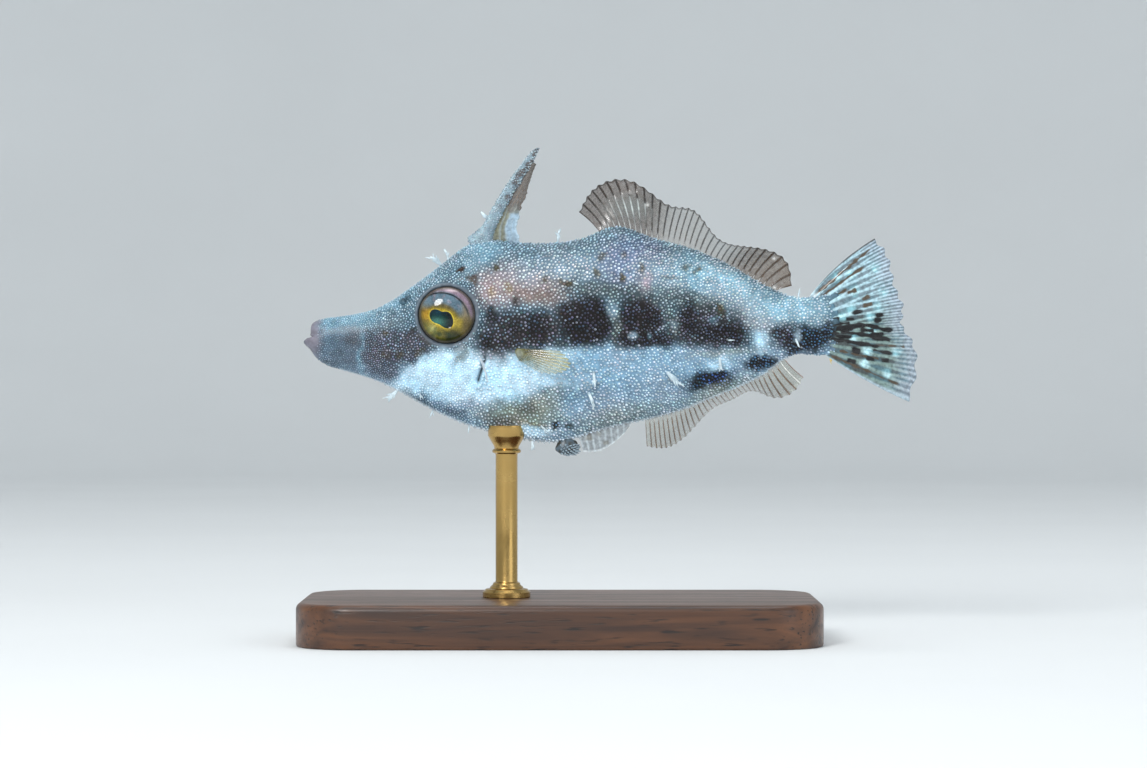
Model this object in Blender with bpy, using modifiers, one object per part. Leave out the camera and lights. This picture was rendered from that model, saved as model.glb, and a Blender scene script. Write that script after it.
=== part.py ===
# Slender filefish as a life-size still model on a small display stand.
#
# The head points to -X, the back to +Z and the left flank to -Y. The origin is the middle of the
# underside of the stand's base. Sizes are in millimetres and become metres where a mesh is made.

import math

import bmesh
import bpy
import numpy as np
from mathutils import Vector

MM = 0.001
GAP = 0.3
RIGHT, LEFT = 1, -1

# Driving sizes of the body. Each station is a cut across the fish: its place along X, the height of
# the back, of the belly and of the widest point, the half width there, and how sharply the back and
# the belly close in (1 is round, more is a keel).
STATIONS = (
    (-24.3, 33.80, 28.62, 31.30, 1.42, 0.95, 1.00),  # behind the lips
    (-21.4, 34.20, 27.76, 31.40, 1.72, 0.97, 1.08),  # middle of the snout
    (-18.6, 35.02, 26.80, 31.90, 2.20, 1.00, 1.20),  # root of the snout
    (-15.4, 37.08, 25.15, 32.90, 2.85, 1.00, 1.30),  # front of the eye
    (-12.0, 39.65, 23.36, 33.60, 3.35, 1.02, 1.35),  # middle of the eye
    (-9.2, 41.62, 22.25, 33.80, 3.60, 1.08, 1.38),  # nape, under the spine
    (-5.6, 41.78, 21.36, 33.60, 3.70, 1.12, 1.40),  # gill slit
    (-0.8, 41.62, 20.62, 33.40, 3.65, 1.15, 1.42),  # end of the pelvis
    (3.2, 42.42, 21.55, 33.40, 3.50, 1.20, 1.36),  # vent
    (5.8, 43.36, 22.30, 33.50, 3.35, 1.25, 1.30),  # hump before the soft dorsal fin
    (8.8, 42.48, 22.95, 33.45, 3.15, 1.23, 1.26),
    (12.2, 41.50, 23.85, 33.40, 2.85, 1.20, 1.22),
    (17.4, 39.50, 25.92, 33.20, 2.25, 1.12, 1.15),
    (21.6, 37.12, 28.00, 33.00, 1.68, 1.05, 1.06),  # end of the soft fins
    (24.2, 36.08, 29.92, 33.00, 1.25, 1.00, 1.00),  # thinnest part of the tail stem
    (28.9, 36.55, 29.70, 33.15, 0.60, 0.95, 0.95),  # root of the tail fin
)
BODY_SIDES = 32
BODY_RINGS = 56

# The blunt front of the snout. The mouth is a short level crease between a deep upper lip and a
# lower lip that stands out past it.
MOUTH_HEIGHT = 31.75
MOUTH_HALF_WIDTH = 1.05
MOUTH_CREASE_DEPTH = 0.75
MOUTH_CREASE_HALF_HEIGHT = 0.16
LIP_DRAW_BACK = 0.55
LIP_PROFILE = ((28.6, -24.7), (29.5, -25.7), (30.5, -26.35), (31.4, -26.9), (31.75, -26.35),
               (32.3, -26.2), (33.0, -26.15), (33.8, -25.9))
SNOUT_RINGS = (0.985, 0.95, 0.88, 0.76, 0.60, 0.42, 0.22)
SNOUT_BLUNTNESS = 5.0

# Where the body is parted. Both planes lean with the gill slit: their foot lies further forward.
NECK_X = -4.75
NECK_LEAN = 0.13
STEM_X = 24.0
TAIL_ROOT_X = 27.4
STEM_LEAN = -0.25
PLANE_HEIGHT = 33.0

# Eye: a flattened ball that looks a little forward, in a socket with a low rim of skin.
EYE_X, EYE_HEIGHT = -11.75, 33.95
EYE_RADIUS, EYE_HALF_DEPTH = 3.02, 1.62
EYE_SINK = 0.92
RIM_RADIUS, RIM_THICKNESS, RIM_SINK, RIM_POINTS = 3.42, 0.34, 0.05, 26

# Small forms of the head. Each nostril is (x, height, radius); its pore is a share of that radius.
NOSTRILS = ((-16.55, 35.35, 0.42), (-15.75, 35.85, 0.36))
PORE_SHARE, PORE_OUTWARD, PORE_RISE = 0.55, 0.8, 0.1
GILL_X, GILL_HEIGHT, GILL_LENGTH, GILL_TILT = -8.15, 28.25, 3.0, 17.0
GILL_SLIT_HALF_WIDTH, GILL_SLIT_DEPTH = 0.24, 1.0
GILL_FLAP_HALF_WIDTH, GILL_FLAP_DEPTH, GILL_FLAP_BEHIND, GILL_FLAP_SINK = 0.26, 0.6, 0.42, 0.2

# Skin tabs, each (x, turn round the body from the right flank over the back, length, lean to the
# tail). Those on the flanks grow on both sides. Their roots are sunk into the skin.
MIDLINE_TABS = ((-12.5, 90, 1.35, -38), (-11.95, 90, 1.35, -8), (-0.2, 90, 1.0, 5),
                (24.9, 90, 0.85, 0), (-17.0, 270, 1.45, -20), (-13.3, 270, 0.9, 12),
                (-9.5, 270, 0.85, 8), (-2.9, 270, 0.85, 10))
FLANK_TABS = ((-2.0, 300, 1.1, 50), (4.6, 318, 1.2, 35), (10.0, 324, 1.1, 50), (-14.6, 298, 0.8, 30),
              (1.4, 28, 0.8, 55), (11.3, 70, 0.8, 20), (13.0, 18, 0.8, 55), (17.5, 345, 0.8, 60),
              (19.4, 300, 0.8, 40), (25.8, 335, 0.8, 40))
TAB_WIDTH, TAB_THICKNESS, TAB_SINK = 0.62, 0.5, 0.55

# First dorsal spine, with its barbs and the web behind it. Shares run from its foot to its tip. The
# foot flares out over its lowest part, and the shaft tapers a little before it comes to a point.
SPINE_FOOT_X, SPINE_TIP, SPINE_BOW = -8.1, (-2.3, 51.5), (-0.22, 0, 0.13)
SPINE_HALF_LENGTH, SPINE_HALF_WIDTH = 0.66, 0.5
SPINE_FLARE, SPINE_FLARE_SHARE, SPINE_TAPER, SPINE_POINT = 0.75, 0.14, 0.30, 0.52
SPINE_RINGS = (-0.06, 0.0, 0.05, 0.1, 0.2, 0.4, 0.6, 0.8, 0.93, 0.985)
BARB_COUNT, BARB_FIRST, BARB_LAST = 11, 0.22, 0.94
BARB_LENGTH, BARB_WIDTH, BARB_THICKNESS, BARB_DIRECTION = 0.5, 0.42, 0.36, (-0.7, 0.55, -0.25)
SPINE_TAB_SHARE, SPINE_TAB_LENGTH, SPINE_TAB_WIDTH = 0.2, 1.25, 0.5
WEB_WIDTHS = ((0, 2.45), (0.17, 1.9), (0.33, 1.15), (0.58, 0.6), (0.86, 0.42), (1, 0.4))
WEB_TOP_SHARE, WEB_HALF_THICKNESS, WEB_SWAY = 0.85, 0.25, 0.1
WEB_ROWS, WEB_COLUMNS = 6, 4

# Soft fins. Rays are ridges on a thin sheet of skin. Each row of tips is (share of the way along the
# fin, then how far the tip stands behind, to the right of and above its root's place on the body).
MEMBRANE_HALF, RAY_HALF, SMALL_RAY_HALF, TIP_HALF = 0.25, 0.40, 0.34, 0.20
SCALLOP = 0.955  # how far the web between two rays reaches, as a share of their length
FIN_ROWS = 4
DORSAL_RAYS, DORSAL_FRONT, DORSAL_REAR = 34, 4.1, 22.3
DORSAL_TIPS = ((0, -2.1, 3.1, 2.1), (0.12, -2.3, 2.2, 4.35), (0.24, -0.75, 0.0, 5.35),
               (0.36, 0.5, -3.4, 3.5), (0.48, 1.0, -3.5, 3.5), (0.61, 0.85, -4.2, 1.6),
               (0.73, 1.1, -3.8, 1.6), (0.85, 1.9, -2.1, 2.5), (0.94, 2.6, -0.8, 2.0),
               (1, 1.9, -0.3, 0.3))
DORSAL_BOW, DORSAL_BOW_ALONG, DORSAL_BOW_SPREAD = -1.3, 0.2, 0.1
ANAL_RAYS, ANAL_FRONT, ANAL_REAR = 33, 8.9, 23.4
ANAL_TIPS = ((0, 0.2, 1.0, -2.7), (0.15, 0.5, 2.0, -3.3), (0.3, 0.8, 3.3, -2.1), (0.42, 0.9, 4.1, -0.9),
             (0.6, 0.9, 4.2, -0.7), (0.75, 0.9, 4.0, -0.9), (0.87, 1.7, 2.6, -2.6), (0.93, 2.3, 1.7, -2.5),
             (1, 2.1, 1.2, -1.8))
TAIL_RAYS, TAIL_ROWS = 12, 7
TAIL_LENGTHS = ((0, 8.4), (0.36, 8.45), (0.45, 8.85), (0.64, 8.35), (0.73, 9.1), (1, 9.2))
TAIL_ANGLES = ((0, 47), (0.25, 29), (0.5, 11), (0.75, -2.5), (0.9, -17), (1, -31))
TAIL_CURL, TAIL_RAY_HALF, TAIL_ROOT_INSET = 11, 0.48, 0.15
TAIL_CUP, TAIL_PLEATS, TAIL_PLEAT_DEPTH = 0.55, 5, 0.25
PECTORAL_RAYS, PECTORAL_LENGTH, PECTORAL_TOP_ANGLE, PECTORAL_SPREAD = 11, 5.4, 6, 30
PECTORAL_X, PECTORAL_HEIGHT, PECTORAL_ROOT_HALF = -4.1, 29.85, 0.62
PECTORAL_SHORTENING, PECTORAL_STAND_OFF, PECTORAL_LEAN, PECTORAL_TURN_OUT = 0.42, 0.64, 0.16, 0.42
PECTORAL_LOBE, PECTORAL_LOBE_OUTWARD = (0.75, 0.62, 0.85), 0.45

# Ventral flap and the scaly stub that ends the pelvis.
FLAP_FRONT, FLAP_REAR, FLAP_DROP, FLAP_RIDGES = 1.95, 7.3, 1.75, 9
FLAP_LEAN, FLAP_WAVE = 0.5, 0.2
STUB_X, STUB_HEIGHT, STUB_SIZE = 0.75, 20.05, (1.25, 0.56, 0.62)
STUB_BARBS, STUB_FAN_START, STUB_FAN = 5, 205, 130
STUB_BARB_LENGTH, STUB_BARB_WIDTH, STUB_BARB_THICKNESS, STUB_BARB_LEAN = 0.95, 0.4, 0.36, 0.75
STUB_BARB_SETBACK, STUB_BARB_STAGGER = 0.25, 0.4

# Display stand: a rounded plinth and one turned rod whose cup takes the edge of the belly.
BASE_LENGTH, BASE_WIDTH, BASE_THICKNESS = 54.0, 27.0, 4.5
BASE_CORNER, BASE_EDGE = 6.0, 0.7
ROD_X, ROD_RADIUS, CUP_RADIUS, FOOT_RADIUS, FOOT_HEIGHT = -5.6, 1.15, 1.95, 2.5, 0.9
CUP_HEIGHT, CUP_WRAP = 2.6, 1.1


def clear_scene():
    for obj in list(bpy.data.objects):
        bpy.data.objects.remove(obj, do_unlink=True)


def new_collection(name):
    made = bpy.data.collections.new(name)
    bpy.context.scene.collection.children.link(made)
    return made


def material(name, colour, roughness, metallic=0.0):
    made = bpy.data.materials.new(name)
    made.use_nodes = True
    shader = made.node_tree.nodes["Principled BSDF"]
    shader.inputs["Base Color"].default_value = (*colour, 1.0)
    shader.inputs["Roughness"].default_value = roughness
    shader.inputs["Metallic"].default_value = metallic
    return made


def mesh_object(name, points, faces, collection):
    """A mesh of these points, given in millimetres, with its faces turned outwards."""
    mesh = bpy.data.meshes.new(name)
    mesh.from_pydata([Vector(point) * MM for point in points], [], faces)
    edit = bmesh.new()
    edit.from_mesh(mesh)
    bmesh.ops.recalc_face_normals(edit, faces=edit.faces)
    edit.to_mesh(mesh)
    edit.free()
    made = bpy.data.objects.new(name, mesh)
    collection.objects.link(made)
    return made


def curve_through(xs, ys):
    """The natural cubic spline through the points, as a function."""
    xs, ys = np.array(xs, float), np.array(ys, float)
    steps = np.diff(xs)
    matrix = np.eye(len(xs))
    bends = np.zeros(len(xs))
    for i in range(1, len(xs) - 1):
        matrix[i, i - 1:i + 2] = steps[i - 1], 2 * (steps[i - 1] + steps[i]), steps[i]
        rise_after, rise_before = (ys[i + 1] - ys[i]) / steps[i], (ys[i] - ys[i - 1]) / steps[i - 1]
        bends[i] = 6 * (rise_after - rise_before)
    bends = np.linalg.solve(matrix, bends)

    def value(x):
        i = min(max(int(np.searchsorted(xs, x)) - 1, 0), len(steps) - 1)
        before, after, step = x - xs[i], xs[i + 1] - x, steps[i]
        return float((bends[i] * after ** 3 + bends[i + 1] * before ** 3) / (6 * step)
                     + (ys[i] / step - bends[i] * step / 6) * after
                     + (ys[i + 1] / step - bends[i + 1] * step / 6) * before)

    return value


STATION_XS, *STATION_COLUMNS = zip(*STATIONS)
back_height, belly_height, widest_height, half_width, back_power, keel_power = (
    curve_through(STATION_XS, column) for column in STATION_COLUMNS)
lip_front = curve_through(*zip(*LIP_PROFILE))


def skin_point(x, turn, grow=0.0):
    """A point of the skin: turn 0 is the right flank, 90 degrees the back and 270 the belly."""
    side, up = math.cos(math.radians(turn)), math.sin(math.radians(turn))
    middle = widest_height(x)
    reach = back_height(x) - middle if up >= 0 else middle - belly_height(x)
    power = back_power(x) if up >= 0 else keel_power(x)
    y = math.copysign((half_width(x) + grow) * abs(side) ** power, side)
    return Vector((x, y, middle + (reach + grow) * up))


def flank(x, z):
    """Half the width of the body at a height, and nothing above the back or below the belly."""
    middle = widest_height(x)
    reach = back_height(x) - middle if z >= middle else middle - belly_height(x)
    power = back_power(x) if z >= middle else keel_power(x)
    share = (z - middle) / reach
    return half_width(x) * max(1 - share * share, 0.0) ** (power / 2)


def snout_point(share, turn, grow=0.0):
    """A point of the blunt front of the snout, from its rim (share 1) to the middle of the mouth."""
    x_rim = STATIONS[0][0]
    rim = skin_point(x_rim, turn, grow)
    y, z = rim.y * share, MOUTH_HEIGHT + (rim.z - MOUTH_HEIGHT) * share
    across = min(abs(y) / MOUTH_HALF_WIDTH, 1.0)
    crease = max(1 - abs(z - MOUTH_HEIGHT) / MOUTH_CREASE_HALF_HEIGHT, 0.0) * (1 - across ** 3)
    lip = lip_front(z) + LIP_DRAW_BACK * across ** 2 + MOUTH_CREASE_DEPTH * crease - grow
    return Vector((x_rim + (lip - x_rim) * (1 - share ** SNOUT_BLUNTNESS), y, z))


def body_loft(name, grow, collection):
    """The whole body from lips to tail root as one closed skin."""
    turns = [360 * i / BODY_SIDES for i in range(BODY_SIDES)]
    rings = [[snout_point(share, turn, grow) for turn in turns] for share in reversed(SNOUT_RINGS)]
    for x in np.linspace(STATIONS[0][0], STATIONS[-1][0], BODY_RINGS):
        rings.append([skin_point(float(x), turn, grow) for turn in turns])
    points = [point for ring in rings for point in ring]
    faces = []
    for i in range(len(rings) - 1):
        for j in range(BODY_SIDES):
            k = (j + 1) % BODY_SIDES
            near, far = i * BODY_SIDES, (i + 1) * BODY_SIDES
            faces.append((near + j, near + k, far + k, far + j))
    mouth = len(points)
    points.append(snout_point(0.0, 0.0, grow))
    faces += [(mouth, (j + 1) % BODY_SIDES, j) for j in range(BODY_SIDES)]
    last = (len(rings) - 1) * BODY_SIDES
    faces.append(tuple(range(last, last + BODY_SIDES)))
    return mesh_object(name, points, faces, collection)


def stretch_of(body, name, front, rear, collection):
    """The stretch of the body between two planes, each (x, lean) or None for an open end."""
    edit = bmesh.new()
    edit.from_mesh(body.data)
    for plane, side in ((front, -1), (rear, 1)):
        if plane is None:
            continue
        x, lean = plane
        normal = Vector((side, 0, -side * lean)).normalized()
        place = Vector((x, 0, PLANE_HEIGHT)) * MM
        everything = edit.verts[:] + edit.edges[:] + edit.faces[:]
        cut = bmesh.ops.bisect_plane(edit, geom=everything, plane_co=place, plane_no=normal,
                                     dist=1e-7, clear_outer=True)
        rim = [part for part in cut["geom_cut"] if isinstance(part, bmesh.types.BMEdge)]
        bmesh.ops.edgeloop_fill(edit, edges=rim)
    bmesh.ops.recalc_face_normals(edit, faces=edit.faces)
    mesh = bpy.data.meshes.new(name)
    edit.to_mesh(mesh)
    edit.free()
    made = bpy.data.objects.new(name, mesh)
    collection.objects.link(made)
    return made


def ball(name, middle, radii, collection, segments=12, rings=8):
    """A ball with its own half lengths along X, Y and Z, its poles on the Y axis."""
    edit = bmesh.new()
    bmesh.ops.create_uvsphere(edit, u_segments=segments, v_segments=rings, radius=1)
    for vertex in edit.verts:
        x, z, y = vertex.co
        vertex.co = Vector((middle[0] + x * radii[0], middle[1] - y * radii[1],
                            middle[2] + z * radii[2])) * MM
    mesh = bpy.data.meshes.new(name)
    edit.to_mesh(mesh)
    edit.free()
    made = bpy.data.objects.new(name, mesh)
    collection.objects.link(made)
    return made


def ring_tube(name, path, thickness, collection):
    """A closed ring of round wire through the points, as a mesh."""
    curve = bpy.data.curves.new(name, "CURVE")
    curve.dimensions = "3D"
    curve.bevel_depth = thickness * MM
    curve.bevel_resolution = 1
    line = curve.splines.new("POLY")
    line.points.add(len(path) - 1)
    for place, point in zip(line.points, path):
        place.co = (*(Vector(point) * MM), 1)
    line.use_cyclic_u = True
    wire = bpy.data.objects.new(name + "_wire", curve)
    collection.objects.link(wire)
    graph = bpy.context.evaluated_depsgraph_get()
    mesh = bpy.data.meshes.new_from_object(wire.evaluated_get(graph))
    bpy.data.objects.remove(wire, do_unlink=True)
    made = bpy.data.objects.new(name, mesh)
    collection.objects.link(made)
    return made


def tapered_tab(name, root, along, across, length, width, thickness, collection):
    """A small leaf of skin or a barb: four-sided, widest a third of the way up, pointed."""
    along, across = Vector(along).normalized(), Vector(across).normalized()
    thin = along.cross(across).normalized()
    points = []
    for share, size in ((0.0, 0.8), (0.4, 1.0), (0.8, 0.65)):
        middle = Vector(root) + along * length * share
        points += [middle + across * width / 2 * size, middle + thin * thickness / 2 * size,
                   middle - across * width / 2 * size, middle - thin * thickness / 2 * size]
    faces = [(0, 1, 2, 3)]
    for ring in (0, 4):
        faces += [(ring + i, ring + (i + 1) % 4, ring + 4 + (i + 1) % 4, ring + 4 + i) for i in range(4)]
    points.append(Vector(root) + along * length)
    faces += [(8 + i, 8 + (i + 1) % 4, 12) for i in range(4)]
    return mesh_object(name, points, faces, collection)


def apply_modifiers(obj):
    graph = bpy.context.evaluated_depsgraph_get()
    mesh = bpy.data.meshes.new_from_object(obj.evaluated_get(graph))
    obj.modifiers.clear()
    obj.data = mesh


def fuse(obj, pieces):
    """Joins the collection's closed meshes to the object and removes them."""
    union = obj.modifiers.new("fuse", "BOOLEAN")
    union.operation = "UNION"
    union.operand_type = "COLLECTION"
    union.collection = pieces
    union.solver = "EXACT"
    apply_modifiers(obj)
    for piece in list(pieces.objects):
        bpy.data.objects.remove(piece, do_unlink=True)
    bpy.data.collections.remove(pieces)


def carve(obj, cutter):
    """Takes the cutter's shape out of the object."""
    cutter.hide_render = True
    cutter.display_type = "WIRE"
    cut = obj.modifiers.new("carve", "BOOLEAN")
    cut.operation = "DIFFERENCE"
    cut.object = cutter
    cut.solver = "EXACT"
    apply_modifiers(obj)


def keep_largest(obj):
    """Leaves only the largest closed surface of a mesh, so no loose scrap stays behind."""
    edit = bmesh.new()
    edit.from_mesh(obj.data)
    bmesh.ops.remove_doubles(edit, verts=edit.verts, dist=1e-7)
    bmesh.ops.triangulate(edit, faces=edit.faces)
    unseen, groups = set(edit.faces), []
    while unseen:
        waiting, group = [unseen.pop()], []
        while waiting:
            face = waiting.pop()
            group.append(face)
            linked = {other for edge in face.edges for other in edge.link_faces} & unseen
            unseen -= linked
            waiting += linked
        groups.append(group)
    groups.sort(key=len, reverse=True)
    scraps = [face for group in groups[1:] for face in group]
    bmesh.ops.delete(edit, geom=scraps, context="FACES")
    edit.to_mesh(obj.data)
    edit.free()


def finish(obj, surface, smooth_angle=40.0):
    obj.data.materials.clear()
    obj.data.materials.append(surface)
    obj.data.shade_smooth()
    obj.data.set_sharp_from_angle(angle=math.radians(smooth_angle))


def skin_tab(name, x, turn, length, lean, collection):
    """A skin tab on the body, its root sunk in and its tip leaning towards the tail."""
    root = skin_point(x, turn)
    ahead, beside = skin_point(x + 0.1, turn), skin_point(x, turn + 2)
    along_body = (ahead - root).normalized()
    outward = (beside - root).cross(along_body).normalized()
    if outward.dot(root - Vector((x, 0, widest_height(x)))) < 0:
        outward = -outward
    slope = math.radians(lean)
    direction = outward * math.cos(slope) + along_body * math.sin(slope)
    start = root - direction * TAB_SINK
    tapered_tab(name, start, direction, along_body - direction * along_body.dot(direction),
                length + TAB_SINK, TAB_WIDTH, TAB_THICKNESS, collection)


def tabs_between(low, high, collection):
    """Every skin tab whose root lies between two places along the body."""
    for i, (x, turn, length, lean) in enumerate(MIDLINE_TABS):
        if low < x < high:
            skin_tab(f"tab_{i}", x, turn, length, lean, collection)
    for i, (x, turn, length, lean) in enumerate(FLANK_TABS):
        if low < x < high:
            for side, around in ((RIGHT, turn), (LEFT, 180 - turn)):
                skin_tab(f"flank_tab_{i}_{side}", x, around % 360, length, lean, collection)


def eye_middle(side):
    return Vector((EYE_X, side * (flank(EYE_X, EYE_HEIGHT) - EYE_SINK), EYE_HEIGHT))


def eye_rim(side, collection):
    """The low ring of skin round the eye, laid on the surface of the head."""
    path = []
    for i in range(RIM_POINTS):
        angle = 2 * math.pi * i / RIM_POINTS
        x = EYE_X + RIM_RADIUS * math.cos(angle)
        z = EYE_HEIGHT + RIM_RADIUS * math.sin(angle)
        path.append((x, side * (flank(x, z) - RIM_SINK), z))
    ring_tube(f"eye_rim_{side}", path, RIM_THICKNESS, collection)


def make_head(body, fish, cutters, skin):
    head = stretch_of(body, "head", None, (NECK_X, NECK_LEAN), fish)
    pieces = new_collection("head_pieces")
    tabs_between(STATIONS[0][0], NECK_X, pieces)
    tilt = math.radians(GILL_TILT)
    for side in (RIGHT, LEFT):
        eye_rim(side, pieces)
        for i, (x, z, size) in enumerate(NOSTRILS):
            ball(f"nostril_{i}_{side}", (x, side * flank(x, z), z), (size, size, size), pieces, 8, 6)
        flap_size = (GILL_FLAP_HALF_WIDTH, GILL_FLAP_DEPTH, GILL_LENGTH / 2)
        flap = ball(f"gill_flap_{side}", (0, 0, 0), flap_size, pieces, 8, 8)
        flap.rotation_euler = (0, tilt, 0)
        x = GILL_X + GILL_FLAP_BEHIND
        flap.location = Vector((x, side * (flank(x, GILL_HEIGHT) - GILL_FLAP_SINK), GILL_HEIGHT)) * MM
    bpy.context.view_layer.update()
    fuse(head, pieces)
    for side in (RIGHT, LEFT):
        carve(head, ball(f"socket_{side}", eye_middle(side),
                         (EYE_RADIUS + GAP, EYE_HALF_DEPTH + GAP, EYE_RADIUS + GAP), cutters, 24, 14))
        for i, (x, z, size) in enumerate(NOSTRILS):
            pore = size * PORE_SHARE
            middle = (x, side * (flank(x, z) + size * PORE_OUTWARD), z + PORE_RISE)
            carve(head, ball(f"pore_{i}_{side}", middle, (pore, size, pore), cutters, 8, 6))
        slit_size = (GILL_SLIT_HALF_WIDTH, GILL_SLIT_DEPTH, GILL_LENGTH / 2)
        slit = ball(f"gill_slit_{side}", (0, 0, 0), slit_size, cutters, 8, 10)
        slit.rotation_euler = (0, tilt, 0)
        slit.location = Vector((GILL_X, side * flank(GILL_X, GILL_HEIGHT), GILL_HEIGHT)) * MM
        bpy.context.view_layer.update()
        carve(head, slit)
    keep_largest(head)
    finish(head, skin)


def make_torso(body, fish, skin):
    torso = stretch_of(body, "torso", (NECK_X + GAP, NECK_LEAN), (STEM_X, STEM_LEAN), fish)
    pieces = new_collection("torso_pieces")
    tabs_between(NECK_X, STEM_X, pieces)
    fuse(torso, pieces)
    keep_largest(torso)
    finish(torso, skin)


def make_tail_stem(body, fish, skin):
    stem = stretch_of(body, "tail_stem", (STEM_X + GAP, STEM_LEAN), (TAIL_ROOT_X, STEM_LEAN), fish)
    pieces = new_collection("stem_pieces")
    tabs_between(STEM_X, TAIL_ROOT_X, pieces)
    fuse(stem, pieces)
    keep_largest(stem)
    finish(stem, skin)


def make_eye(side, name, fish, surface):
    eye = ball(name, eye_middle(side), (EYE_RADIUS, EYE_HALF_DEPTH, EYE_RADIUS), fish, 24, 14)
    finish(eye, surface, 80)


def fin_sheet(name, rows, columns, place, half_thickness, surface, fish):
    """A thin closed sheet on a grid of places, its root square to the body.

    Both faces are split into triangles along the same diagonals, so a curved sheet never meets itself.
    """
    middles = [[place(i / rows, j) for j in range(columns)] for i in range(rows + 1)]
    faces_of, points = [[], []], []
    for side in (0, 1):
        for i in range(rows + 1):
            for j in range(columns):
                along = middles[min(i + 1, rows)][j] - middles[max(i - 1, 0)][j]
                across = middles[i][min(j + 1, columns - 1)] - middles[i][max(j - 1, 0)]
                normal = along.cross(across).normalized()
                if i == 0:
                    normal = Vector((0, math.copysign(1, normal.y), 0))
                offset = half_thickness(i / rows, j) * (1 if side else -1)
                points.append(middles[i][j] + normal * offset)
        first = side * (rows + 1) * columns
        for i in range(rows):
            for j in range(columns - 1):
                a = first + i * columns + j
                b, c, d = a + 1, a + columns + 1, a + columns
                faces_of[side] += [(a, b, c), (a, c, d)]
    rim = list(range(columns))
    rim += [i * columns + columns - 1 for i in range(1, rows + 1)]
    rim += [rows * columns + j for j in range(columns - 2, -1, -1)]
    rim += [i * columns for i in range(rows - 1, 0, -1)]
    other = (rows + 1) * columns
    faces = faces_of[0] + faces_of[1]
    for a, b in zip(rim, rim[1:] + rim[:1]):
        faces += [(a, b, b + other), (a, b + other, a + other)]
    made = mesh_object(name, points, faces, fish)
    finish(made, surface, 60)
    return made


def ridge(share, column, root=RAY_HALF, web=MEMBRANE_HALF, tip=TIP_HALF):
    """Half the thickness of a fin: even columns are rays, odd ones the web between them."""
    full = root if column % 2 == 0 else web
    return full + (tip - full) * share ** 3


def root_on(line, x, sign):
    """The point a gap outside the line of the back (sign 1) or the belly (-1), square to it."""
    slope = (line(x + 0.05) - line(x - 0.05)) / 0.1
    outward = Vector((-slope * sign, 0, sign)).normalized()
    return Vector((x, 0, line(x))) + outward * GAP


def soft_fin(name, line, sign, front, rear, rays, tips, bow, surface, fish):
    """A fin of many rays along the line of the back (sign 1) or the belly (-1).

    A ray leaves its root upright and then leans out to its tip. The web between the rays is a little
    shorter, so the edge of the fin is scalloped.
    """
    alongs, *columns_of_tips = zip(*tips)
    tip_x, tip_y, tip_z = (curve_through(alongs, column) for column in columns_of_tips)
    columns = 2 * rays - 1

    def place(share, column):
        along = column / (columns - 1)
        reach = share * (1.0 if column % 2 == 0 else SCALLOP)
        sideways = tip_y(along) * reach ** 1.5 + bow(along) * math.sin(math.pi * reach) * reach
        x = front + (rear - front) * along
        root = root_on(line, x, sign)
        height = root.z + (line(x) + tip_z(along) - root.z) * reach ** 0.75
        return Vector((root.x + (x + tip_x(along) - root.x) * reach, sideways, height))

    fin_sheet(name, FIN_ROWS, columns, place, ridge, surface, fish)


def make_soft_dorsal(fish, surface):
    def bow(along):
        return DORSAL_BOW * math.exp(-((along - DORSAL_BOW_ALONG) / DORSAL_BOW_SPREAD) ** 2)

    soft_fin("soft_dorsal_fin", back_height, 1, DORSAL_FRONT, DORSAL_REAR, DORSAL_RAYS, DORSAL_TIPS,
             bow, surface, fish)


def make_anal_fin(fish, surface):
    soft_fin("anal_fin", belly_height, -1, ANAL_FRONT, ANAL_REAR, ANAL_RAYS, ANAL_TIPS,
             lambda along: 0.0, surface, fish)


def make_tail_fin(fish, surface):
    """Twelve stiff rays that fan out behind the stem. Their lengths step where the fin is pleated."""
    columns = 2 * TAIL_RAYS - 1
    length_at, angle_at = curve_through(*zip(*TAIL_LENGTHS)), curve_through(*zip(*TAIL_ANGLES))
    top = back_height(TAIL_ROOT_X) - TAIL_ROOT_INSET
    bottom = belly_height(TAIL_ROOT_X) + TAIL_ROOT_INSET

    def place(share, column):
        along = column / (columns - 1)
        height = top + (bottom - top) * along
        root = Vector((TAIL_ROOT_X + GAP + STEM_LEAN * (height - PLANE_HEIGHT), 0, height))
        length = length_at(along) * (1.0 if column % 2 == 0 else SCALLOP)
        curl = TAIL_CURL * (0.5 - share) * (1 - 1.5 * along)
        angle = math.radians(angle_at(along) + curl)
        reach = length * share
        sway = TAIL_CUP * math.sin(math.pi * along)
        sway += TAIL_PLEAT_DEPTH * math.sin(TAIL_PLEATS * math.pi * along)
        return root + Vector((reach * math.cos(angle), sway * share ** 2, reach * math.sin(angle)))

    def thickness(share, column):
        return ridge(share, column, root=TAIL_RAY_HALF)

    fin_sheet("tail_fin", TAIL_ROWS, columns, place, thickness, surface, fish)


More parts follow.
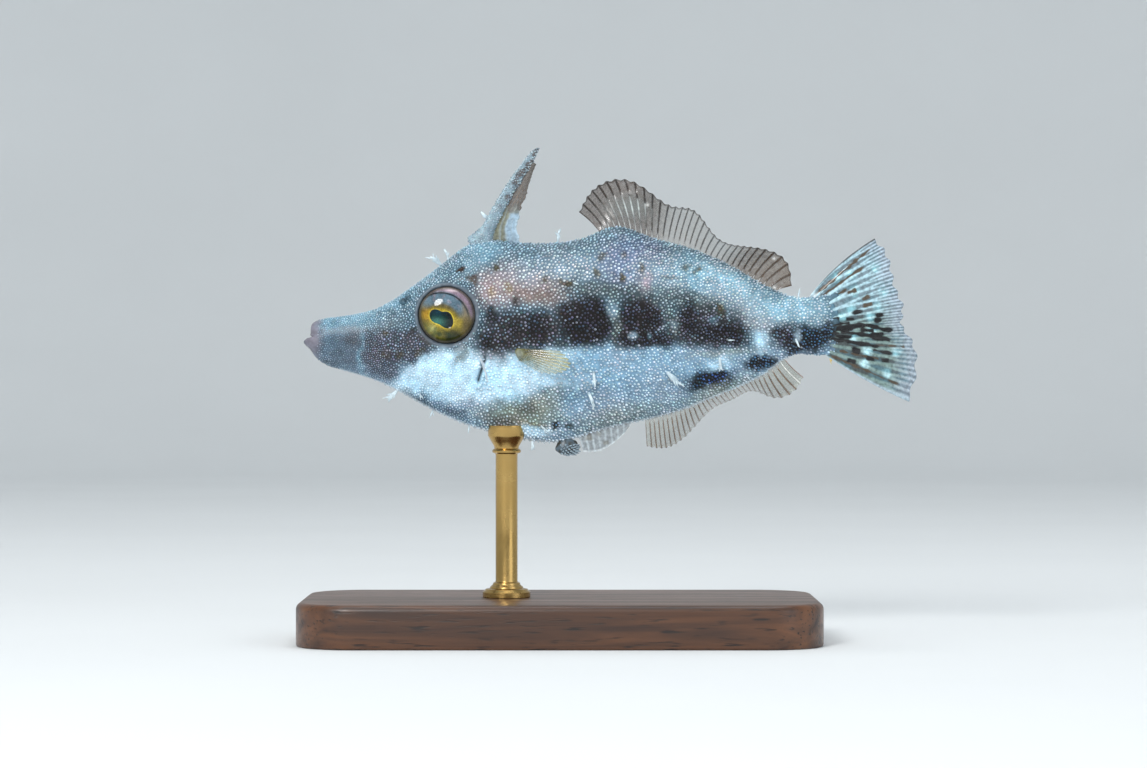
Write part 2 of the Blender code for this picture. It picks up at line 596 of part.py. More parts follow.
def make_pectoral_fin(side, name, body_cutter, fish, surface):
    """A small fan laid back along the flank from a fleshy lobe, its lower edge turned outwards."""
    columns = 2 * PECTORAL_RAYS - 1
    skin_y = flank(PECTORAL_X, PECTORAL_HEIGHT)

    def place(share, column):
        along = column / (columns - 1)
        angle = math.radians(PECTORAL_TOP_ANGLE - PECTORAL_SPREAD * along)
        length = PECTORAL_LENGTH * (1 - PECTORAL_SHORTENING * abs(2 * along - 0.7) ** 1.6)
        reach = length * share * (1.0 if column % 2 == 0 else SCALLOP)
        outward = PECTORAL_STAND_OFF + reach * (PECTORAL_LEAN + PECTORAL_TURN_OUT * along)
        height = PECTORAL_HEIGHT + PECTORAL_ROOT_HALF * (1 - 2 * along)
        return Vector((PECTORAL_X + reach * math.cos(angle), side * (skin_y + outward),
                       height + reach * math.sin(angle)))

    def thickness(share, column):
        return ridge(share, column, root=SMALL_RAY_HALF)

    fin = fin_sheet(name, 5, columns, place, thickness, surface, fish)
    pieces = new_collection("pectoral_pieces")
    lobe_middle = (PECTORAL_X, side * (skin_y + PECTORAL_LOBE_OUTWARD), PECTORAL_HEIGHT)
    ball("lobe", lobe_middle, PECTORAL_LOBE, pieces, 12, 8)
    fuse(fin, pieces)
    carve(fin, body_cutter)
    keep_largest(fin)
    finish(fin, surface, 60)


def spine_axis(share):
    """The middle line of the dorsal spine, bent a little forward."""
    foot = Vector((SPINE_FOOT_X, 0, back_height(SPINE_FOOT_X)))
    tip = Vector((SPINE_TIP[0], 0, SPINE_TIP[1]))
    return foot.lerp(tip, share) + Vector(SPINE_BOW) * math.sin(math.pi * share)


def spine_size(share):
    """Half length along the body and half width of the spine at a share of its height."""
    flare = SPINE_FLARE * max(1 - share / SPINE_FLARE_SHARE, 0.0) ** 1.5
    taper = 1 - SPINE_TAPER * share - SPINE_POINT * share ** 7
    return SPINE_HALF_LENGTH * (taper + flare), SPINE_HALF_WIDTH * (taper + 0.6 * flare)


def make_dorsal_spine(body_cutter, fish, surface):
    """The stout first dorsal spine: an eight-sided spike with small barbs down both front edges."""
    rise = (spine_axis(1) - spine_axis(0)).normalized()
    rearward = Vector((rise.z, 0, -rise.x))
    points = []
    for share in SPINE_RINGS:
        half_length, half_breadth = spine_size(share)
        for i in range(8):
            angle = 2 * math.pi * (i + 0.5) / 8
            points.append(spine_axis(share) + rearward * half_length * math.cos(angle)
                          + Vector((0, half_breadth * math.sin(angle), 0)))
    faces = [tuple(range(8)), tuple(range(len(points) - 8, len(points)))]
    for ring in range(len(SPINE_RINGS) - 1):
        near, far = ring * 8, ring * 8 + 8
        faces += [(near + i, near + (i + 1) % 8, far + (i + 1) % 8, far + i) for i in range(8)]
    spine = mesh_object("dorsal_spine", points, faces, fish)
    pieces = new_collection("spine_pieces")
    for i in range(BARB_COUNT):
        share = BARB_FIRST + (BARB_LAST - BARB_FIRST) * i / (BARB_COUNT - 1)
        half_length, half_breadth = spine_size(share)
        for side in (RIGHT, LEFT):
            root = spine_axis(share) - rearward * half_length * 0.6
            root.y += side * half_breadth * 0.55
            direction = Vector(BARB_DIRECTION) * Vector((1, side, 1))
            tapered_tab(f"barb_{i}_{side}", root, direction, rise, BARB_LENGTH, BARB_WIDTH,
                        BARB_THICKNESS, pieces)
    tab_root = spine_axis(SPINE_TAB_SHARE) - rearward * SPINE_HALF_LENGTH / 2
    tapered_tab("spine_tab", tab_root, rise - rearward, rise, SPINE_TAB_LENGTH, SPINE_TAB_WIDTH,
                SPINE_TAB_WIDTH, pieces)
    fuse(spine, pieces)
    carve(spine, body_cutter)
    keep_largest(spine)
    finish(spine, surface)


def make_spine_web(fish, surface):
    """The sheet of skin behind the spine, widest at its foot.

    It sways with its own width, so that its narrow top stays nearly flat.
    """
    width_at = curve_through(*zip(*WEB_WIDTHS))
    rise = (spine_axis(1) - spine_axis(0)).normalized()
    rearward = Vector((rise.z, 0, -rise.x))

    def spine_edge(along):
        return spine_axis(along) + rearward * (spine_size(along)[0] + GAP + 0.03)

    foot = next(along for along in np.arange(0.02, 0.3, 0.002)
                if spine_edge(along).z > back_height(SPINE_FOOT_X) + GAP + 0.1)

    def place(share, column):
        along = float(foot + (WEB_TOP_SHARE - foot) * share)
        across = column / (WEB_COLUMNS - 1)
        width = width_at(share)
        sway = WEB_SWAY * width * math.sin(math.pi * across) * math.sin(math.pi * share)
        return spine_edge(along) + Vector((width * across, sway, 0))

    def thickness(share, column):
        return WEB_HALF_THICKNESS * (1 - 0.2 * column / (WEB_COLUMNS - 1))

    fin_sheet("spine_web", WEB_ROWS, WEB_COLUMNS, place, thickness, surface, fish)


def make_ventral_flap(fish, surface):
    """The thin fold of skin between the end of the pelvis and the vent."""
    columns = 2 * FLAP_RIDGES - 1

    def place(share, column):
        along = column / (columns - 1)
        x = FLAP_FRONT + (FLAP_REAR - FLAP_FRONT) * along
        drop = FLAP_DROP * (math.sin(math.pi * (0.22 + 0.78 * along)) ** 0.8 + 0.12)
        drop *= 1.0 if column % 2 == 0 else SCALLOP
        return Vector((x + FLAP_LEAN * share * (1 - along), FLAP_WAVE * math.sin(3 * along) * share,
                       belly_height(x) - GAP - drop * share))

    def thickness(share, column):
        return ridge(share, column, root=SMALL_RAY_HALF)

    fin_sheet("ventral_flap", 3, columns, place, thickness, surface, fish)


def make_pelvic_stub(body_cutter, fish, surface):
    """The blunt stub of barbed scales that ends the pelvis in place of pelvic fins.

    Every other barb stands further back, so that their roots don't run into each other.
    """
    stub = ball("pelvic_stub", (STUB_X, 0, STUB_HEIGHT), STUB_SIZE, fish, 12, 8)
    pieces = new_collection("stub_pieces")
    for i in range(STUB_BARBS):
        angle = math.radians(STUB_FAN_START + STUB_FAN * i / (STUB_BARBS - 1))
        outward = Vector((0, math.cos(angle), math.sin(angle)))
        x = STUB_X + STUB_BARB_SETBACK + STUB_BARB_STAGGER * (i % 2)
        tapered_tab(f"stub_barb_{i}", Vector((x, 0, STUB_HEIGHT)) + outward * 0.2,
                    outward + Vector((STUB_BARB_LEAN, 0, 0)), outward.cross(Vector((1, 0, 0))),
                    STUB_BARB_LENGTH, STUB_BARB_WIDTH, STUB_BARB_THICKNESS, pieces)
    fuse(stub, pieces)
    carve(stub, body_cutter)
    keep_largest(stub)
    finish(stub, surface)


def make_base(fish, surface):
    """A plain rounded plinth, flat underneath."""
    size = Vector((BASE_LENGTH, BASE_WIDTH, BASE_THICKNESS)) * MM
    edit = bmesh.new()
    bmesh.ops.create_cube(edit, size=1)
    for vertex in edit.verts:
        vertex.co = Vector((vertex.co.x * size.x, vertex.co.y * size.y, (vertex.co.z + 0.5) * size.z))
    upright = [edge for edge in edit.edges
               if abs(edge.verts[0].co.z - edge.verts[1].co.z) > size.z / 2]
    bmesh.ops.bevel(edit, geom=upright, offset=BASE_CORNER * MM, segments=6, profile=0.5, affect="EDGES")
    top = [edge for edge in edit.edges if all(vertex.co.z > size.z * 0.99 for vertex in edge.verts)]
    bmesh.ops.bevel(edit, geom=top, offset=BASE_EDGE * MM, segments=2, profile=0.5, affect="EDGES")
    mesh = bpy.data.meshes.new("stand_base")
    edit.to_mesh(mesh)
    edit.free()
    base = bpy.data.objects.new("stand_base", mesh)
    fish.objects.link(base)
    finish(base, surface, 30)


def make_rod(body_cutter, fish, surface):
    """A turned rod: a flat foot on the base, a slim shaft and a cup cut to the keel of the belly."""
    top = belly_height(ROD_X) + CUP_WRAP
    low = BASE_THICKNESS + GAP
    profile = ((0, top), (CUP_RADIUS, top), (CUP_RADIUS, top - CUP_HEIGHT * 0.45),
               (ROD_RADIUS * 1.2, top - CUP_HEIGHT * 0.85), (ROD_RADIUS, top - CUP_HEIGHT),
               (ROD_RADIUS, low + FOOT_HEIGHT + 0.6), (ROD_RADIUS * 1.25, low + FOOT_HEIGHT + 0.15),
               (FOOT_RADIUS, low + FOOT_HEIGHT), (FOOT_RADIUS, low), (0, low))
    mesh = bpy.data.meshes.new("stand_rod")
    edges = [(i, i + 1) for i in range(len(profile) - 1)]
    mesh.from_pydata([(radius * MM, 0, height * MM) for radius, height in profile], edges, [])
    rod = bpy.data.objects.new("stand_rod", mesh)
    fish.objects.link(rod)
    turn = rod.modifiers.new("turn", "SCREW")
    turn.steps = turn.render_steps = 24
    turn.use_merge_vertices = True
    turn.merge_threshold = 0.00001
    apply_modifiers(rod)
    rod.location.x = ROD_X * MM
    bpy.context.view_layer.update()
    carve(rod, body_cutter)
    keep_largest(rod)
    finish(rod, surface, 30)


def main():
    clear_scene()
    fish = new_collection("slender_filefish")
    cutters = new_collection("cutters")
    skin = material("flank_skin", (0.30, 0.34, 0.36), 0.55)
    tail_skin = material("stem_skin", (0.22, 0.27, 0.31), 0.55)
    nape_skin = material("head_skin", (0.36, 0.42, 0.46), 0.5)
    iris = material("eye", (0.42, 0.36, 0.14), 0.12)
    bone = material("spine_bone", (0.30, 0.20, 0.11), 0.5)
    web = material("spine_web", (0.33, 0.25, 0.17), 0.5)
    brown_fin = material("soft_dorsal_membrane", (0.42, 0.36, 0.28), 0.4)
    pale_fin = material("anal_membrane", (0.48, 0.46, 0.40), 0.4)
    tail_web = material("tail_membrane", (0.45, 0.52, 0.52), 0.4)
    side_fin = material("pectoral_membrane", (0.62, 0.64, 0.42), 0.4)
    flap = material("ventral_flap_skin", (0.50, 0.47, 0.38), 0.55)
    stub = material("pelvic_stub_scales", (0.46, 0.44, 0.38), 0.6)
    plinth = material("plinth_wood", (0.16, 0.08, 0.04), 0.35)
    metal = material("rod_brass", (0.70, 0.54, 0.26), 0.3, 1.0)

    body = body_loft("body_whole", 0.0, cutters)
    grown = body_loft("body_clearance", GAP, cutters)
    make_head(body, fish, cutters, nape_skin)
    make_torso(body, fish, skin)
    make_tail_stem(body, fish, tail_skin)
    for side, word in ((LEFT, "left"), (RIGHT, "right")):
        make_eye(side, f"eye_{word}", fish, iris)
        make_pectoral_fin(side, f"pectoral_fin_{word}", grown, fish, side_fin)
    make_dorsal_spine(grown, fish, bone)
    make_spine_web(fish, web)
    make_soft_dorsal(fish, brown_fin)
    make_anal_fin(fish, pale_fin)
    make_tail_fin(fish, tail_web)
    make_ventral_flap(fish, flap)
    make_pelvic_stub(grown, fish, stub)
    make_base(fish, plinth)
    make_rod(grown, fish, metal)
    for cutter in cutters.objects:
        cutter.hide_render = True
        cutter.display_type = "WIRE"


main()
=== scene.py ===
# Slender filefish on a display stand: the looks of the model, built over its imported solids.
#
# Sizes are in millimetres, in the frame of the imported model, and become metres where a mesh is made. The
# head points to -X, the back to +Z, and the left flank, which the camera sees, to -Y.

import math

import bmesh
import bpy
import numpy as np
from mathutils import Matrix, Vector, noise


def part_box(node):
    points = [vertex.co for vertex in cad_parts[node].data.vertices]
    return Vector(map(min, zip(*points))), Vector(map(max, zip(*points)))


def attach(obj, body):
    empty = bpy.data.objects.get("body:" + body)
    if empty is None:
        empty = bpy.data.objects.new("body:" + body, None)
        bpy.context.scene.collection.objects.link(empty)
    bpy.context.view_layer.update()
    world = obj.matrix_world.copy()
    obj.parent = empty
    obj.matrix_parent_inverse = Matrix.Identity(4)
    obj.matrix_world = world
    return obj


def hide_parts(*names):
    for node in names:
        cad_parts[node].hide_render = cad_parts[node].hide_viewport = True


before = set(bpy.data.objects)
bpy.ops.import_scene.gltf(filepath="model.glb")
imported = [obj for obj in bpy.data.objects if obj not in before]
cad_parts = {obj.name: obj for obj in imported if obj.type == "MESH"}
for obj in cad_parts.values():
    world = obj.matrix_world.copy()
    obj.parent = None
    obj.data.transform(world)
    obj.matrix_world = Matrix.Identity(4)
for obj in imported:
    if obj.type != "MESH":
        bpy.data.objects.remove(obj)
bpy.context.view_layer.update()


# Skin. The head, trunk and tail stem of the model are one hollow casting in flexible resin, with no seam, and
# are set with fine granules afterwards. The colours are airbrushed in soft patches over a pale blue-grey
# ground, and a thin satin lacquer keeps them looking damp.
MM = 0.001  # a millimetre, in metres

# Each station is a cut across the fish: its place along X, the height of the back, of the belly and of the
# widest point, the half width there, and how sharply the back and the belly close in (1 is round).
STATIONS = (
    (-24.3, 33.80, 28.62, 31.30, 1.42, 0.95, 1.00),  # behind the lips
    (-21.4, 34.20, 27.76, 31.40, 1.72, 0.97, 1.08),  # middle of the snout
    (-18.6, 35.02, 26.80, 31.90, 2.20, 1.00, 1.20),  # root of the snout
    (-15.4, 37.08, 25.15, 32.90, 2.85, 1.00, 1.30),  # front of the eye
    (-12.0, 39.65, 23.36, 33.60, 3.35, 1.02, 1.35),  # middle of the eye
    (-9.2, 41.62, 22.25, 33.80, 3.60, 1.08, 1.38),  # nape, under the spine
    (-5.6, 41.78, 21.36, 33.60, 3.70, 1.12, 1.40),  # behind the gill slit
    (-0.8, 41.62, 20.62, 33.40, 3.65, 1.15, 1.42),  # end of the pelvis
    (3.2, 42.42, 21.55, 33.40, 3.50, 1.20, 1.36),  # vent
    (5.8, 43.36, 22.30, 33.50, 3.35, 1.25, 1.30),  # hump before the soft dorsal fin
    (8.8, 42.48, 22.95, 33.45, 3.15, 1.23, 1.26),
    (12.2, 41.50, 23.85, 33.40, 2.85, 1.20, 1.22),
    (17.4, 39.50, 25.92, 33.20, 2.25, 1.12, 1.15),
    (21.6, 37.12, 28.00, 33.00, 1.68, 1.05, 1.06),  # end of the soft fins
    (24.2, 36.08, 29.72, 33.00, 1.25, 1.00, 1.00),  # thinnest part of the tail stem
    (26.2, 36.00, 29.78, 33.05, 0.95, 0.97, 0.97),
    (28.9, 36.55, 29.70, 33.15, 0.60, 0.95, 0.95),  # root of the tail fin
)
MOUTH_HEIGHT, MOUTH_HALF_WIDTH = 31.75, 1.05
MOUTH_CREASE_DEPTH, MOUTH_CREASE_HALF_HEIGHT, LIP_DRAW_BACK = 0.35, 0.16, 0.55
LIP_PROFILE = ((28.6, -24.7), (29.5, -25.7), (30.5, -26.35), (31.3, -26.9), (31.75, -26.4),
               (32.3, -26.2), (33.0, -26.15), (33.8, -25.9))
SNOUT_BLUNTNESS = 8.0
SNOUT_RINGS, HEAD_RINGS, TRUNK_RINGS, SKIN_SIDES = 26, 190, 166, 240
NECK_X, SKIN_END_X, TAIL_THINNING_X = -5.0, 28.9, 26.7
COAT_DEPTH = 0.12

EYE_X, EYE_HEIGHT, EYE_SINK = -11.75, 33.95, 0.92
ORBIT_INNER, ORBIT_OUTER, ORBIT_LEVEL, ORBIT_FLOOR = 3.02, 4.3, 0.36, -1.15
LID_RADIUS, LID_WIDTH, LID_HEIGHT = 3.2, 0.15, 0.12
GILL_X, GILL_HEIGHT, GILL_LENGTH, GILL_TILT = -8.15, 28.25, 2.6, 17.0
GROOVE_DEPTH, GROOVE_HALF_WIDTH = 0.5, 0.15
FOLD_HEIGHT, FOLD_BEHIND, FOLD_HALF_WIDTH = 0.16, 0.42, 0.22
SKIN_WAVE, SKIN_WAVE_PITCH, MIDLINE_HALF_WIDTH = 0.045, 2.6, 0.02
END_RAGGEDNESS, END_RAGGED_PITCH, END_THINNING = 0.55, 0.7, 0.92
WRINKLE_PITCH, BLOTCH_PITCH = 0.22, 0.5


def curve_through(xs, ys):
    """The natural cubic spline through the points, as a function of a number or an array."""
    xs, ys = np.array(xs, float), np.array(ys, float)
    steps = np.diff(xs)
    slopes = np.diff(ys) / steps
    matrix, bends = np.eye(len(xs)), np.zeros(len(xs))
    for i in range(1, len(xs) - 1):
        matrix[i, i - 1:i + 2] = steps[i - 1], 2 * (steps[i - 1] + steps[i]), steps[i]
        bends[i] = 6 * (slopes[i] - slopes[i - 1])
    bends = np.linalg.solve(matrix, bends)

    def value(x):
        x = np.asarray(x, float)
        i = np.clip(np.searchsorted(xs, x) - 1, 0, len(steps) - 1)
        before, after, step = x - xs[i], xs[i + 1] - x, steps[i]
        return ((bends[i] * after ** 3 + bends[i + 1] * before ** 3) / (6 * step)
                + (ys[i] / step - bends[i] * step / 6) * after
                + (ys[i + 1] / step - bends[i + 1] * step / 6) * before)

    return value


station_xs, *station_columns = zip(*STATIONS)
back_height, belly_height, widest_height, half_width, back_power, keel_power = (
    curve_through(station_xs, column) for column in station_columns)
lip_front = curve_through(*zip(*LIP_PROFILE))


def closing(x, above):
    """The height of the widest point, how far the body reaches from there, and how sharply it closes in."""
    middle = widest_height(x)
    reach = np.where(above, back_height(x) - middle, middle - belly_height(x))
    return middle, reach, np.where(above, back_power(x), keel_power(x))


def body_points(x, turn, grow=0.0):
    """Points of the body: turn 0 is the right flank, 90 degrees the back and 270 the belly."""
    side, up = np.cos(np.radians(turn)), np.sin(np.radians(turn))
    middle, reach, power = closing(x, up >= 0)
    y = np.sign(side) * (half_width(x) + grow) * np.abs(side) ** power
    return np.stack(np.broadcast_arrays(x, y, middle + (reach + grow) * up), axis=-1)


def flank(x, z):
    """Half the width of the body at a height, and nothing above the back or below the belly."""
    middle, reach, power = closing(x, z >= widest_height(x))
    return half_width(x) * np.maximum(1 - ((z - middle) / reach) ** 2, 0.0) ** (power / 2)


def snout_points(share, turn, grow=0.0):
    """Points of the blunt front of the snout, from its rim (share 1) to the middle of the mouth."""
    x_rim = station_xs[0]
    rim = body_points(x_rim, turn, grow)
    y, z = rim[..., 1] * share, MOUTH_HEIGHT + (rim[..., 2] - MOUTH_HEIGHT) * share
    across = np.minimum(np.abs(y) / MOUTH_HALF_WIDTH, 1.0)
    crease = np.maximum(1 - np.abs(z - MOUTH_HEIGHT) / MOUTH_CREASE_HALF_HEIGHT, 0.0) * (1 - across ** 3)
    lip = lip_front(z) + LIP_DRAW_BACK * across ** 2 + MOUTH_CREASE_DEPTH * crease - grow
    return np.stack([x_rim + (lip - x_rim) * (1 - share ** SNOUT_BLUNTNESS), y, z], axis=-1)


def smooth_step(low, high, value):
    """0 below low, 1 above high, and a soft rise between them. Low may be the greater of the two."""
    share = np.clip((np.asarray(value, float) - low) / (high - low), 0.0, 1.0)
    return share * share * (3 - 2 * share)


def noise_at(points, pitch, shift=0.0):
    """Smooth noise between -1 and 1 at the points, with its lumps about one pitch apart."""
    values = [noise.noise((x / pitch + shift, y / pitch - shift, z / pitch))
              for x, y, z in points.reshape(-1, 3)]
    return np.array(values).reshape(points.shape[:-1])


def grid_faces(rows, columns, closed=False):
    """The quads of a grid of points, row after row. A closed one joins its last column to its first."""
    i = np.arange(rows - 1)[:, None] * columns
    j = np.arange(columns if closed else columns - 1)[None, :]
    k = (j + 1) % columns
    return np.stack(np.broadcast_arrays(i + j, i + k, i + columns + k, i + columns + j), -1).reshape(-1, 4)


def closed_rings(rings, first_pole, last_pole):
    """Points and faces of a closed form: rings of points, and a point that closes each end."""
    count, sides = rings.shape[:2]
    faces = grid_faces(count, sides, closed=True).tolist()
    last = (count - 1) * sides
    for j in range(sides):
        k = (j + 1) % sides
        faces.append((count * sides, k, j))
        faces.append((count * sides + 1, last + j, last + k))
    return np.vstack([rings.reshape(-1, 3), [first_pole, last_pole]]), faces


def linear(hex_colour):
    """An sRGB hex colour as linear red, green and blue."""
    values = np.array([int(hex_colour[i:i + 2], 16) for i in (1, 3, 5)]) / 255
    return np.where(values <= 0.04045, values / 12.92, ((values + 0.055) / 1.055) ** 2.4)


def mixed(first, second, weight):
    """First colours where the weight is 0 and second ones where it is 1."""
    return first * (1 - weight[..., None]) + second * weight[..., None]


def blend(colours, *coats):
    """Colours drawn towards one sRGB hex colour after another, each by a weight for every place."""
    for hex_colour, weight in coats:
        colours = colours + (linear(hex_colour) - colours) * np.asarray(weight, float)[..., None]
    return colours


def mesh_piece(name, points, faces, surface, recalculate=False):
    """A smooth-shaded piece with its place in its mesh, from points in millimetres."""
    mesh = bpy.data.meshes.new(name)
    mesh.from_pydata((np.asarray(points, float) * MM).tolist(), [], [tuple(map(int, face)) for face in faces])
    if recalculate:
        edit = bmesh.new()
        edit.from_mesh(mesh)
        bmesh.ops.recalc_face_normals(edit, faces=edit.faces)
        edit.to_mesh(mesh)
        edit.free()
    mesh.materials.append(surface)
    mesh.shade_smooth()
    piece = bpy.data.objects.new(name, mesh)
    bpy.context.scene.collection.objects.link(piece)
    return piece


def paint(piece, name, values):
    """Stores a number or a linear colour for each point of a piece, for its material to read."""
    values = np.asarray(values, float)
    if values.ndim == 1:
        piece.data.attributes.new(name, "FLOAT", "POINT").data.foreach_set("value", values)
    else:
        rgba = np.hstack([np.clip(values, 0, 1), np.ones((len(values), 1))])
        piece.data.attributes.new(name, "FLOAT_COLOR", "POINT").data.foreach_set("color", rgba.ravel())


def add_node(tree, kind, settings=None, values=None, feeds=None):
    """Adds a node: its own settings, constants or links for its inputs, and the sockets its outputs feed."""
    made = tree.nodes.new(kind)
    for name, value in (settings or {}).items():
        setattr(made, name, value)
    for name, value in (values or {}).items():
        if isinstance(value, bpy.types.NodeSocket):
            tree.links.new(value, made.inputs[name])
        else:
            made.inputs[name].default_value = value
    for name, socket in (feeds or {}).items():
        tree.links.new(made.outputs[name], socket)
    return made


def new_finish(name, values):
    """A material with constants for its shader: the material, its node tree and the shader's inputs."""
    finish = bpy.data.materials.new(name)
    finish.use_nodes = True
    inputs = finish.node_tree.nodes["Principled BSDF"].inputs
    for setting, value in values.items():
        inputs[setting].default_value = value
    return finish, finish.node_tree, inputs


def uneven_paint(tree, inputs, attribute, pitch, detail, spread, tones):
    """Takes a colour from painted points and makes it darker and paler in patches one pitch apart."""
    place = add_node(tree, "ShaderNodeTexCoord").outputs["Object"]
    patches = add_node(tree, "ShaderNodeTexNoise", None,
                       {"Vector": place, "Scale": 1 / (pitch * MM), "Detail": detail}).outputs["Fac"]
    painted = add_node(tree, "ShaderNodeAttribute", {"attribute_name": attribute})
    tone = add_node(tree, "ShaderNodeMapRange", None,
                    {"Value": patches, "From Min": spread[0], "From Max": spread[1],
                     "To Min": tones[0], "To Max": tones[1]}).outputs["Result"]
    add_node(tree, "ShaderNodeMix", {"data_type": "RGBA", "blend_type": "MULTIPLY"},
             {0: 1.0, 6: painted.outputs["Color"], 7: tone}, {2: inputs["Base Color"]})
    return place, patches, tone


# Markings of each flank: place, half length and half height, tilt up towards the tail, the colour of the
# ground between the granules, the colour of their tips, strength and softness of the edge.
BLUE_GREY = ("#425a68", "#bedaea")
BRIGHT = ("#7690a2", "#fcfeff")
BRIGHT_CYAN = ("#86b0c4", "#f8feff")
LILAC = ("#666e94", "#e6e8ff")
PALE_CYAN = ("#648ca0", "#cae6f4")
SNOUT_GREY = ("#485a6a", "#8aa2b6")
MOTTLED = ("#34343e", "#909cb4")
WHITE = ("#b8daee", "#e6f4fd")
STRIPE = ("#7a9eb8", "#e0f2fc")
PINK_BROWN = ("#907f82", "#fffcfe")
BELLY = ("#7896ae", "#d8ecf8")
GREEN_GREY = ("#3c4646", "#aabcbe")
BAND_GREY = ("#1e1617", "#828ca2")
BLACK_BROWN = ("#0a0504", "#525a74")
BLUE_BLACK = ("#020306", "#4a78a0")
OLIVE_GREY = ("#757f76", "#dcecec")
OLIVE = ("#3c3416", "#6e6438")
GOLD = ("#7a6840", "#b8a26a")
BROWN = ("#20120c", "#4e3828")
MARKING_ROUNDNESS = 2.5
